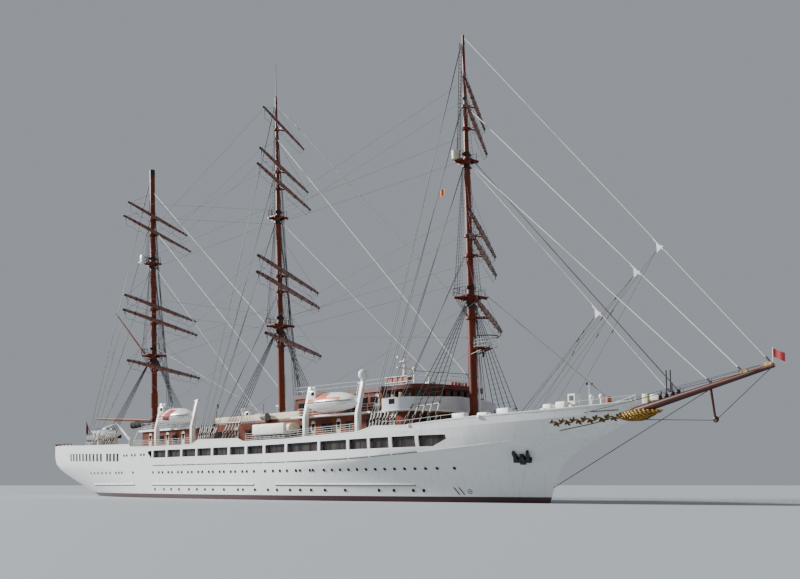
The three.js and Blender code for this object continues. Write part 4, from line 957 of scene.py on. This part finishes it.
for mast, yard, z, length, reach, radius in YARDS:
    body = f"{mast}_{yard}_yard"
    inside = mast_radius(mast, z)
    spar = bmesh.new()
    tips = bmesh.new()
    rig = bmesh.new()
    for s in (-1, 1):
        half = s * length / 2
        bar(spar, (reach, 0, 0), (reach, half * 0.35, 0), radius, radius * 0.96, 14)
        bar(spar, (reach, half * 0.35, 0), (reach, half * 0.93, 0), radius * 0.96, radius * 0.58, 14)
        bar(spar, (reach, half * 0.93, 0), (reach, half, 0), radius * 0.5, radius * 0.45, 14)
        bar(spar, (inside + 0.1, s * 0.12, 0), (reach, s * 0.8, 0), 0.09)
        for at in (0.12, 0.35, 0.6, 0.85, 0.95):
            y = half * at
            bar(spar, (reach, y - 0.08, 0), (reach, y + 0.08, 0), radius * (1.12 - 0.5 * at ** 2), sides=14)
        for at, width in ((0.965, 0.35), (0.72, 0.12), (0.34, 0.12)):
            y = half * at
            bar(tips, (reach, y - width, 0), (reach, y + width, 0), radius * (1.14 - 0.5 * at ** 2), sides=14)
            bar(tips, (reach, y, -0.1), (reach, y, -radius - 0.35), 0.06)
        up = radius + 0.07
        bar(rig, (reach, 0, up), (reach, half * 0.92, up * 0.75), 0.03, sides=4)
        for a, b in ((0.05, 0.28), (0.28, 0.5), (0.5, 0.72), (0.72, 0.94)):
            footrope(rig, reach, half * a, half * b, b == 0.94)
        for k in range(1, 14):
            y = half * 0.92 * k / 13
            bar(rig, (reach, y, up * 0.55), (reach, y, up - up * 0.25 * k / 13), 0.025, sides=4)
    yard_collar(spar, inside)
    for bm in (spar, tips, rig):
        bmesh.ops.transform(bm, matrix=yard_place(mast, z), verts=bm.verts)
    node = f"yard_{mast}_{yard}"
    place(f"{node}_spar", spar, spar_paint, body, replaces=[node])
    place(f"{node}_tips", tips, black_iron, body)
    place(f"{node}_rigging", rig, dark_wire, body)

# Spanker gaff and boom: red-brown spars with jaws on the after side of the mizzen, and the
# spanker's dark canvas cover, gathered in folds round the boom and open underneath
sail_canvas = finish("dark_sail_canvas", "#0C0E0C", 0.95, "#151812", 50, relief_mm=1)
for node in ("spanker_gaff", "spanker_boom"):
    dress(f"{node}_pole", node, spar_paint, f"{node}_spar")


def gathered(along, round_it):
    turn = math.radians(300) * (round_it - 0.5)
    r = 0.42 + 0.12 * along + 0.06 * abs(math.sin(along * math.pi * 6))
    r += 0.02 * math.sin(turn * 5 + along * 20)
    r *= min(1, 0.55 + 6 * min(along, 1 - along))
    return Vector((-31.6 - 7.4 * along, r * 0.85 * math.sin(turn), 11.95 - 0.3 * along - r * math.cos(turn)))


cloth("spanker_cover", woven(60, 20, gathered), sail_canvas,
      "spanker_boom_spar")

# Main stays: thick wire ropes set up taut in the middle plane. Some are served and painted white,
# and the rest show bare galvanised wire, which shines a little.
white_wire = finish("white_served_wire", "#E2E2DE", 0.5, "#C9C9C4", 20)
stay_wire = finish("galvanised_stay_wire", "#77736E", 0.45, "#5F5B56", 20, metallic=0.3)
MAIN_STAYS = {"stay_fore_royal": white_wire, "stay_fore_topmast": white_wire, "stay_fore_lower": stay_wire,
              "stay_main_royal": stay_wire, "stay_main_topmast": white_wire,
              "stay_mizzen_topmast": white_wire}
for node, material in MAIN_STAYS.items():
    dress(f"{node}_wire", node, material, hard_angle=70)

# Other fore-and-aft stays: thinner wires from a mast's fore side down to the bowsprit, the deck or
# the next mast, with a black screw at each landing
landings = bmesh.new()
# Each one's mast and upper height, the x and height of its landing, its wire and its radius
OTHER_STAYS = [("fore", 45.3, 72.3, 11.85, white_wire, 0.05), ("fore", 38.6, 69.1, 11.1, white_wire, 0.05),
               ("fore", 39.4, 65.95, 10.3, black_iron, 0.05), ("main", 50.5, 38.7, 13.8, white_wire, 0.05),
               ("main", 22.2, 38.7, 18.4, black_iron, 0.02), ("mizzen", 50.0, 2.95, 21.5, white_wire, 0.05),
               ("mizzen", 43.8, 3.15, 14.7, white_wire, 0.05), ("mizzen", 24.0, 2.9, 10.4, stay_wire, 0.05)]
for k, (mast, z0, x1, z1, material, radius) in enumerate(OTHER_STAYS):
    start, end = on_mast(mast, z0, mast_radius(mast, z0)), Vector((x1, 0, z1))
    wire = bmesh.new()
    bar(wire, start, end, radius)
    place(f"other_stay_{k + 1}", wire, material, hard_angle=70)
    bar(landings, end.lerp(start, 0.015), end, 0.08)
for x, z in ((75.0, 12.4), (64.95, 10.29)):
    bar(landings, (x - 0.5, 0, z + 0.62), (x, 0, z), 0.09)
place("stay_landings", landings, black_iron)

# Tack plates: three-cornered white plates clamped on the jib stays. The jib sheets hang from them to
# leads on the foredeck, each through a block part of the way down.
tack_plates = bmesh.new()
jib_sheets = bmesh.new()
DECK_LEADS = [(41.5, 4.2, 8.9), (42.5, 4, 9), (44.5, 3, 9.1), (46.5, 2, 9.2), (49, 1.5, 9.4), (52, 1, 9.6)]
TACKS = (((63.88, 24.8), (3, 5)), ((61.2, 22.75), (0, 2, 4)), ((56.47, 19.28), (0, 1, 3)))
plate_turn = Matrix.Rotation(math.radians(90), 4, "X") @ Matrix.Rotation(0.6, 4, "Z")
for (x, z), leads in TACKS:
    bmesh.ops.create_cone(tack_plates, cap_ends=True, segments=3, radius1=0.5, radius2=0.5, depth=0.08,
                          matrix=Matrix.Translation((x + 0.05, 0, z - 0.3)) @ plate_turn)
    bar(tack_plates, (x - 0.55, 0, z + 0.6), (x + 0.55, 0, z - 0.6), 0.07)
    clew = Vector((x - 0.3, 0, z - 0.6))
    for lead in leads:
        foot = Vector(DECK_LEADS[lead])
        bar(jib_sheets, clew, foot, 0.022, sides=4)
        block_at = clew.lerp(foot, 0.12 + 0.07 * lead)
        bar(jib_sheets, block_at, block_at + (foot - block_at).normalized() * 0.5, 0.09)
place("tack_plates", tack_plates, white_wire)

# Shrouds and backstays: dark wire from each mast's tops and heads to the channels in the side,
# set up with pale rigging screws, with tarred ratlines to climb by and a ladder up each masthead
screw_paint = finish("pale_screw_paint", "#D4D4D0", 0.5, "#B8B8B2", 20)
# Each mast's foremost shroud foot, the step to the next of five, the first backstay's foot, the
# height of the mast's head and the height where its ladder ends
RIGGING = {"fore": (40.4, -1.1, 34.4, 53.0, 53.2), "main": (4.2, -0.8, -1.0, 55.5, 55.6),
           "mizzen": (-30.2, -0.8, -36.0, 52.8, 52.6)}
shrouds = bmesh.new()
ratlines = bmesh.new()
screws = bmesh.new()
eyes = bmesh.new()
ladders = bmesh.new()


def channel(x, side):
    return Vector((x, side * (deck_edge(x) - 0.25), max(between(BULWARK, x), deck_top(x)) + 0.1))


def screw(foot, top, length):
    """A white rigging screw at a wire's foot, with a black eye above it."""
    along = (top - foot).normalized()
    bar(screws, foot - Vector((0, 0, 0.3)), foot + along * length, 0.085)
    bar(eyes, foot + along * length * 0.36, foot + along * length * 0.54, 0.12)
    bar(eyes, foot + along * length, foot + along * (length + 0.5), 0.1, 0.04)


def rungs(bm, wires, shares, radius):
    """Lines across a set of wires, at each share of the way up."""
    for t in shares:
        path_bar(bm, [foot.lerp(top, t) for foot, top in wires], radius, 4)


for mast, (first, step, back_foot, head, ladder_top) in RIGGING.items():
    lower_top, upper_top = MASTS[mast][4:]
    for side in (-1, 1):
        lower = [(channel(first + step * k, side), on_mast(mast, lower_top, 0.1 - 0.07 * k, side * 0.45)
                  - Vector((0, 0, 0.4))) for k in range(5)]
        for foot, top in lower:
            bar(shrouds, foot, top, 0.04, sides=5)
            screw(foot, top, 2.1)
        bar(screws, *[foot.lerp(top, 0.14) for foot, top in (lower[0], lower[-1])], 0.06)
        rungs(ratlines, lower, [k / 25 for k in range(4, 24)], 0.014)
        topmast = [(on_mast(mast, lower_top, 0.15 - 0.4 * k, side * 1.6) + Vector((0, 0, 0.1)),
                    on_mast(mast, upper_top, -0.1 * k, side * 0.4) - Vector((0, 0, 0.4))) for k in range(4)]
        for foot, top in topmast:
            bar(shrouds, foot, top, 0.03, sides=5)
            bar(shrouds, foot, on_mast(mast, lower_top - 2.6, 0, side * 0.4), 0.03, sides=5)
        rungs(ratlines, topmast, [k / 36 for k in range(1, 34)], 0.015)
        topgallant = [(on_mast(mast, upper_top, 0.05 - 0.35 * k, side * 1.1) + Vector((0, 0, 0.1)),
                       on_mast(mast, head, -0.05 * k, side * 0.16) - Vector((0, 0, 3.2))) for k in range(3)]
        for foot, top in topgallant:
            bar(shrouds, foot, top, 0.02, sides=5)
        rungs(ratlines, topgallant[::2], [k / 24 for k in range(1, 22)], 0.014)
        heights = (28.4, 28.0, upper_top - 0.1, upper_top - 0.4, 46.0, 45.6, head, head - 0.4)
        for k, z in enumerate(heights):
            foot, top = channel(back_foot - 0.5 * k, side), on_mast(mast, z, -0.2, side * 0.2)
            bar(shrouds, foot, top, 0.035, sides=5)
            screw(foot, top, 1.7)
    ladder = [(on_mast(mast, upper_top + 0.4, -1.3, y), on_mast(mast, ladder_top, -0.45, y * 0.8))
              for y in (-0.22, 0.22)]
    for foot, top in ladder:
        bar(ladders, foot, top, 0.035, sides=5)
    rungs(ladders, ladder, steps_between(0.02, 0.98, 30), 0.025)
place("masthead_ladders", ladders, dark_wire, hard_angle=70)
place("shrouds_and_backstays", shrouds, dark_wire, hard_angle=70)
place("ratlines", ratlines, finish("tarred_ratline", "#4A443E", 0.8, "#38332E", 20), hard_angle=70)
place("rigging_screws", screws, screw_paint, hard_angle=70)
place("screw_eyes", eyes, black_iron, hard_angle=70)

# Lifts and braces: thin dark wire, and pale hemp that is matt and greyed by the sun. Lifts hold a
# yard's arms up from the mast above it and turn with the yard. Braces run from the arms to the next
# mast or the ship's side, and stay fast at both ends.
hemp = finish("pale_hemp_line", "#7A7263", 0.8, "#645D4F", 20)
place("jib_sheets", jib_sheets, hemp, hard_angle=70)
LIFT_RISE = {"course": 6.2, "lower_topsail": 4.8, "upper_topsail": 6.0, "lower_topgallant": 4.2,
             "upper_topgallant": 4.5, "royal": 3.2}
# Where each yard's two braces are led, as x, half width and height
BRACE_FEET = {
    "fore": {"course": (5.6, 8.3, 8.2), "lower_topsail": (2.4, 0.7, 23.2), "upper_topsail": (2.4, 0.7, 25.0),
             "lower_topgallant": (1.7, 0.5, 38.6), "upper_topgallant": (1.6, 0.5, 40.5)},
    "main": {"course": (-28.6, 8.0, 8.1), "lower_topsail": (-31.6, 0.7, 22.2),
             "upper_topsail": (-31.7, 0.7, 24.3), "lower_topgallant": (-32.7, 0.6, 37.6),
             "upper_topgallant": (-32.9, 0.6, 39.7), "royal": (-33.2, 0.5, 43.5)},
    "mizzen": {"course": (-3.4, 8.3, 8.3), "lower_topsail": (2.0, 0.8, 23.2),
               "upper_topsail": (2.0, 0.8, 25.2), "lower_topgallant": (1.5, 0.5, 38.2),
               "upper_topgallant": (1.4, 0.5, 40.2)},
}
for mast, yard, z, length, reach, radius in YARDS:
    body = f"{mast}_{yard}_yard"
    lifts = bmesh.new()
    top_z = min(z + LIFT_RISE[yard], MASTS[mast][3][-1][0] - 0.3, TRUCK + 0.5)
    for s in (-1, 1):
        arm = yard_place(mast, z) @ Vector((reach, s * length * 0.47, radius * 0.5))
        bar(lifts, arm, on_mast(mast, top_z, 0, s * 0.12), 0.018, sides=4)
    place(f"lifts_{mast}_{yard}", lifts, dark_wire, body, hard_angle=70)
    x, half, high = BRACE_FEET[mast][yard]
    for side_name, s in SIDES.items():
        arm = yard_place(mast, z) @ Vector((reach, s * length * 0.48, 0))
        lead = Vector((x, s * half, high))
        brace = bmesh.new()
        bar(brace, lead, arm, 0.018, sides=4)
        piece = place(f"brace_{mast}_{yard}_{side_name}", brace, hemp, None, hard_angle=70)
        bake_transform(piece)

# Bowsprit: a glossy red-brown spike bowsprit with a dolphin striker, a bobstay to the stem, thin
# whisker stays and a foot rail to each side, short black poles and cream lockers at its heel, and pale
# gilded brackets at its tip, middle and striker foot. Strips of lighter orange-brown along its top are a
# painted highlight, where the sun catches the spar.
sprit_paint = finish("dark_bowsprit_paint", "#4C1D0D", 0.35, "#341308", 90, stretch=(0.3, 1, 1))
sprit_highlight_paint = finish("orange_brown_painted_highlight", "#9A5A33", 0.5, "#7A4224", 40)
gold_pale = finish("pale_gilding", "#C2A36A", 0.4, "#8F7440", 20, metallic=0.4)
STRIKER_FOOT = Vector((69.45, 0, 7.7))


def sprit(x, lift=0.0, y=0.0):
    return Vector((x, y, 12.22 - 0.2272 * (75.25 - x) + lift))


dress("bowsprit_spar", "bowsprit", sprit_paint)
head_gear = bmesh.new()
bar(head_gear, (50.6, 0, 1.6), sprit(68.9, -0.25), 0.04, sides=5)
for y in (-0.2, 0.2):
    bar(head_gear, (61.9, y, 8.1), STRIKER_FOOT, 0.035, sides=5)
bar(head_gear, STRIKER_FOOT, sprit(74.9, -0.15), 0.035, sides=5)
for side in (-1, 1):
    bar(head_gear, on_skin(56.5, 8.9, side)[0], sprit(74.6, 0, side * 0.15), 0.03, sides=5)
    bar(head_gear, (60.0, side * 0.55, 10.05), sprit(74.0, 0.4, side * 0.12), 0.02, sides=5)
    for x in (63.0, 66.0, 69.0, 72.0):
        high = 0.85 - 0.02 * (x - 60)
        bar(head_gear, sprit(x, 0.25, side * 0.2), sprit(x, high, side * 0.25), 0.03, sides=5)
place("bowsprit_stays", head_gear, dark_wire, hard_angle=70)
# Strips of lighter orange-brown along the top: a painted highlight on the spar
sprit_highlight = bmesh.new()
for x0, x1 in ((65.2, 68.6), (69.4, 71.9), (72.9, 74.3)):
    bar(sprit_highlight, sprit(x0, 0.24), sprit(x1, 0.22), 0.09)
place("bowsprit_painted_highlight", sprit_highlight, sprit_highlight_paint)
poles = bmesh.new()
for x, high in ((64.35, 2.6), (64.8, 2.5), (64.95, 1.3), (63.75, 0.8)):
    bar(poles, sprit(x, 0.2), sprit(x, 0.3 + high), 0.06)
for x in (63.6, 64.3, 65.0, 65.6):
    ball(poles, sprit(x, 0.5), 0.26, 10, 6)
place("bowsprit_poles", poles, black_iron)
brackets = bmesh.new()
for x, lift in ((74.7, 0.36), (72.4, 0.4)):
    panel(brackets, (x - 0.35, 0), (x + 0.35, 0), sprit(x).z, sprit(x).z + lift + 0.1, 0.2)
bar(brackets, sprit(74.95), sprit(75.3), 0.2, 0.1, sides=12)
for k in range(6):
    a = math.tau * k / 6
    knob = Vector((0.15 * math.cos(a), 0.15 * math.sin(a), 0.1 + 0.1 * math.sin(2 * a)))
    ball(brackets, STRIKER_FOOT + knob, 0.13, 8, 6)
place("gilded_brackets", brackets, gold_pale, hard_angle=60)
heel_lockers = bmesh.new()
block(heel_lockers, (61.8, -0.35, 9.6), (62.45, 0.35, 10.55))
block(heel_lockers, (62.65, -0.3, 9.85), (63.65, 0.3, 10.45))
soften(heel_lockers, 0.08)
place("bowsprit_lockers", heel_lockers, door_cream)

# Figurehead and trailboards: a gilded wooden bird under the bowsprit, its feathers carved in rows, and
# on each bow a carved vine between two thin mouldings, fixed flat on the plating. A dark flat bead under
# each feather, a little larger than it, is painted shadow between the feathers. Gold leaf is bright where
# the carving stands high, and brown where it has worn.
gilding = finish("gilding", "#B98A1E", 0.35, "#6E5312", 12, relief_mm=3, metallic=0.6)
# Nearly black brown for the painted shadow round each carved feather
feather_shadow_paint = finish("dark_gilt_shadow", "#2E220C", 0.6, "#4A3714", 10)
moulding_gilt = finish("dark_gilt_moulding", "#6B643C", 0.5, "#474427", 20)
VINE = [(53.65, 8.08), (55.23, 8.22), (57.03, 8.34), (59.54, 8.57)]
MOULDINGS = [[(57.1, 9.0), (59.5, 9.12)], [(53.92, 7.23), (57.01, 7.85), (59.2, 8.45)]]


def bead(bm, spot, turn, size):
    """A squashed ball, laid on a surface as one carved leaf or feather."""
    bmesh.ops.create_uvsphere(bm, u_segments=10, v_segments=6, radius=1,
                              matrix=Matrix.Translation(spot) @ turn @ Matrix.Diagonal((*size, 1)))


dress("gilded_bird", "figurehead", gilding)
bird_skin = skin_of("figurehead")
feathers = bmesh.new()
shadows = bmesh.new()
for side in (-1, 1):
    for row in range(5):
        for k in range(11):
            x, z = 59.7 + 0.36 * k + 0.17 * (row % 2), 8.1 + 0.22 * row + 0.05 * k
            spot, facing = bird_skin.ray_cast(Vector((x, side * 6, z)), Vector((0, -side, 0)))[:2]
            if spot:
                turn = turned_to(facing) @ Matrix.Rotation(side * 0.5, 4, "Z")
                bead(shadows, spot, turn, (0.21, 0.12, 0.035))
                bead(feathers, spot, turn, (0.17, 0.07, 0.06))
place("bird_feathers", feathers, gilding)
place("bird_feather_painted_shadows", shadows, feather_shadow_paint)
mouldings = bmesh.new()
leaves = bmesh.new()
stems = bmesh.new()
for side in (-1, 1):
    for line in MOULDINGS:
        skin_line(mouldings, line[0][0], line[-1][0], lambda at: between(line, at), 0.05, side, 0.6)
    spots = []
    for k, x in enumerate(steps_between(53.4, 59.5, 37)):
        middle = between(VINE, x) - 0.1
        wave = k * math.tau / 6
        spots.append(on_skin(x, middle + 0.13 * math.sin(wave), side)[0])
        if k % 3 != 1:
            leaf, out = on_skin(x, middle + 0.2 * math.cos(wave), side)
            turn = turned_to(out) @ Matrix.Rotation(0.9 * (-1) ** k, 4, "Z")
            bead(leaves, leaf, turn, (0.27, 0.13, 0.05))
            bead(stems, leaf, turn, (0.23, 0.09, 0.09))
    path_bar(stems, spots, 0.07)
    path_bar(leaves, [spot + Vector((0, side * 0.05, 0)) for spot in spots], 0.035)
place("trailboard_mouldings", mouldings, moulding_gilt, hard_angle=60)
place("trailboard_leaves", leaves, gilding)
place("trailboard_stems", stems, finish("dark_carved_stem", "#2C2C1C", 0.6, "#45422A", 15))

# Anchors: black cast-iron stockless anchors hauled up on the flare under a bright rim, and generic
# round and slanted marks painted low on each bow
anchor_rims = bmesh.new()
marks = bmesh.new()
for side_name, side in SIDES.items():
    node = f"anchor_{side_name}"
    dress(f"{node}_iron", node, black_iron)
    skin_line(anchor_rims, 47.35, 49.5, lambda x: 5.75 - 0.03 * (x - 47.35), 0.04, side, 0.3)
    for x in (39.76, 40.34):
        path_bar(marks, [on_skin(x + 0.24 * t, 1.22 - 0.4 * t, side)[0] for t in (-1, 0, 1)], 0.06)
    skin_line(marks, 41.1, 41.42, lambda x: 1.17, 0.035, side, 0.1)
    path_bar(marks, [on_skin(41.26 + 0.24 * math.cos(a), 1.17 + 0.24 * math.sin(a), side)[0]
                     for a in steps_between(0, math.tau, 13)], 0.035, 4)
place("anchor_rims", anchor_rims, white_paint, hard_angle=60)
place("bow_marks", marks, black_iron, hard_angle=60)

# Foredeck gear: white ventilators, lockers and covered winches on the planking, a lamp post with a
# cross bar, a brown-orange drum and a thin rail along each bow
drum_paint = finish("brown_orange_drum", "#B5573B", 0.5, "#94452C", 40)
# Each pair's two ends, its distance from the middle line and its height
LOW_GEAR = [(41.6, 43.6, 5.5, 9.45), (45.2, 46.7, 5.4, 9.35), (47.5, 49.2, 4.9, 9.7), (50.6, 53.3, 3.5, 9.3),
            (50.0, 51.2, 0.6, 10.2), (51.7, 53.0, 0.6, 10.35)]
FAIRLEADS = (37.2, 46.0)
LAMP_X = 55.35
low_gear = bmesh.new()
for x0, x1, y, z1 in LOW_GEAR:
    for side in (-1, 1):
        block(low_gear, (x0, side * y - 0.35, deck_top(x0)), (x1, side * y + 0.35, z1))
soften(low_gear, 0.15, 3)
place("foredeck_lockers", low_gear, white_paint)
vents = bmesh.new()
# Black plates for the vent's mouth and the fairleads are painted shade, the dark inside of each opening; the
# lamp heads on the cross bar are black iron
openings = bmesh.new()
bar(vents, (53.4, 0, deck_top(53)), (53.4, 0, 10.1), 0.25, sides=14)
block(vents, (52.95, -0.45, 10.0), (53.85, 0.45, 11.1))
block(openings, (53.15, -0.49, 10.4), (53.65, -0.43, 10.9))
for x in (55.65, 56.83):
    bar(vents, (x, 0, deck_top(x)), (x, 0, 10.45), 0.14, sides=12)
    ball(vents, (x, 0, 10.65), 0.27)
bar(vents, (LAMP_X, 0, deck_top(55.3)), (LAMP_X, 0, 12.0), 0.045)
bar(vents, (LAMP_X, -0.4, 11.9), (LAMP_X, 0.4, 11.9), 0.055)
for y in (-0.4, 0.4):
    bar(openings, (LAMP_X, y, 11.85), (LAMP_X, y, 12.1), 0.12, sides=8)
for side in (-1, 1):
    rail(vents, on_bulwark((55.2, 57, 59, 60.8), side, 0.12), height=0.6, runs=1, spacing=1.2)
    for x in FAIRLEADS:
        top = between(BULWARK, x)
        ball(vents, (x, side * (deck_edge(x) - 0.05), top - 0.1), 0.24)
        spot, out = on_skin(x, top - 0.2, side)
        bar(openings, spot - out * 0.02, spot + out * 0.08, 0.12, sides=10)
place("foredeck_vents", vents, white_paint)
place("foredeck_shaded_openings_and_lamps", openings, black_iron)
bow_drum = bmesh.new()
bar(bow_drum, (57.7, 0, deck_top(57.7)), (57.7, 0, 10.55), 0.27, sides=14)
place("red_drum", bow_drum, drum_paint)

# Stern gear: a varnished wooden handrail bolted above the bulwark with a leaning ensign staff, and
# white steel fittings: two struts by the crane and three bollards
after_rail = bmesh.new()
for side in (-1, 1):
    rail(after_rail, on_bulwark(steps_between(-62.4, -46, 10), side, 0.1),
         height=0.4, runs=1, radius=0.05, spacing=2)
bar(after_rail, (-50.9, 0, 7.2), (-55.5, 0, 13.1), 0.06, 0.04)
place("after_handrail", after_rail, mahogany, hard_angle=60)
stern_gear = bmesh.new()
bar(stern_gear, (-29.2, -5.1, 7.9), (-26.9, -5.1, 10.2), 0.09)
bar(stern_gear, (-34.2, -5, 11.65), (-39.4, -5, 11.0), 0.06)
for x in (-48.5, -46.0, -43.5):
    bar(stern_gear, (x, -4.4, DECK_TOP), (x, -4.4, 8.4), 0.3, sides=12)
place("stern_fittings", stern_gear, white_paint)

# Flags: thin woven cloth, dull as cotton is. A dark red ensign hangs limp on the leaning staff, a
# small red jack flies at the bowsprit tip and a small orange one hangs under the fore crosstrees.
ensign_red = finish("dark_red_bunting", "#7A1D22", 0.8, "#5E1419", 20, relief_mm=0.3)
jack_red = finish("red_bunting", "#9B1C24", 0.8, "#7E141B", 20, relief_mm=0.3)
flag_orange = finish("orange_bunting", "#C96A22", 0.8, "#A85316", 20, relief_mm=0.3)
ensign = woven(40, 8, lambda h, down: Vector(
    (-55.4 + 0.85 * h, 0.09 * math.sin(h * 19), 12.97 - 1.09 * h - 1.8 * down)))
cloth("ensign", ensign, ensign_red)
jack = woven(24, 8, lambda fly, hoist: Vector(
    (75.2 + 1.05 * fly, 0.05 * math.sin(fly * 7), 12.95 + 0.75 * hoist - 0.5 * fly)))
cloth("jack", jack, jack_red)
staff = bmesh.new()
bar(staff, sprit(75.1), (75.17, 0, 13.8), 0.04)
place("jack_staff", staff, white_paint)
courtesy = woven(16, 8, lambda fly, hoist: Vector(
    (36.2 - 0.9 * fly, -1.3 + 0.06 * math.sin(fly * 9), 35.2 + 0.7 * hoist - 0.3 * fly)))
cloth("courtesy_flag", courtesy, flag_orange)

# Rudder and propeller under the counter: a welded steel plate in dull red underwater paint, hung on
# its stock, and a cast bronze screw, which keeps its metal shine
underwater_red = finish("red_underwater_paint", "#7A2E27", 0.6, "#672620", 90)
bronze = finish("cast_bronze", "#A5793C", 0.35, "#8C6530", 30, metallic=0.9)
dress("rudder_plate", "rudder", underwater_red, "rudder_blade")
dress("bronze_propeller", "propeller", bronze, "propeller_screw")
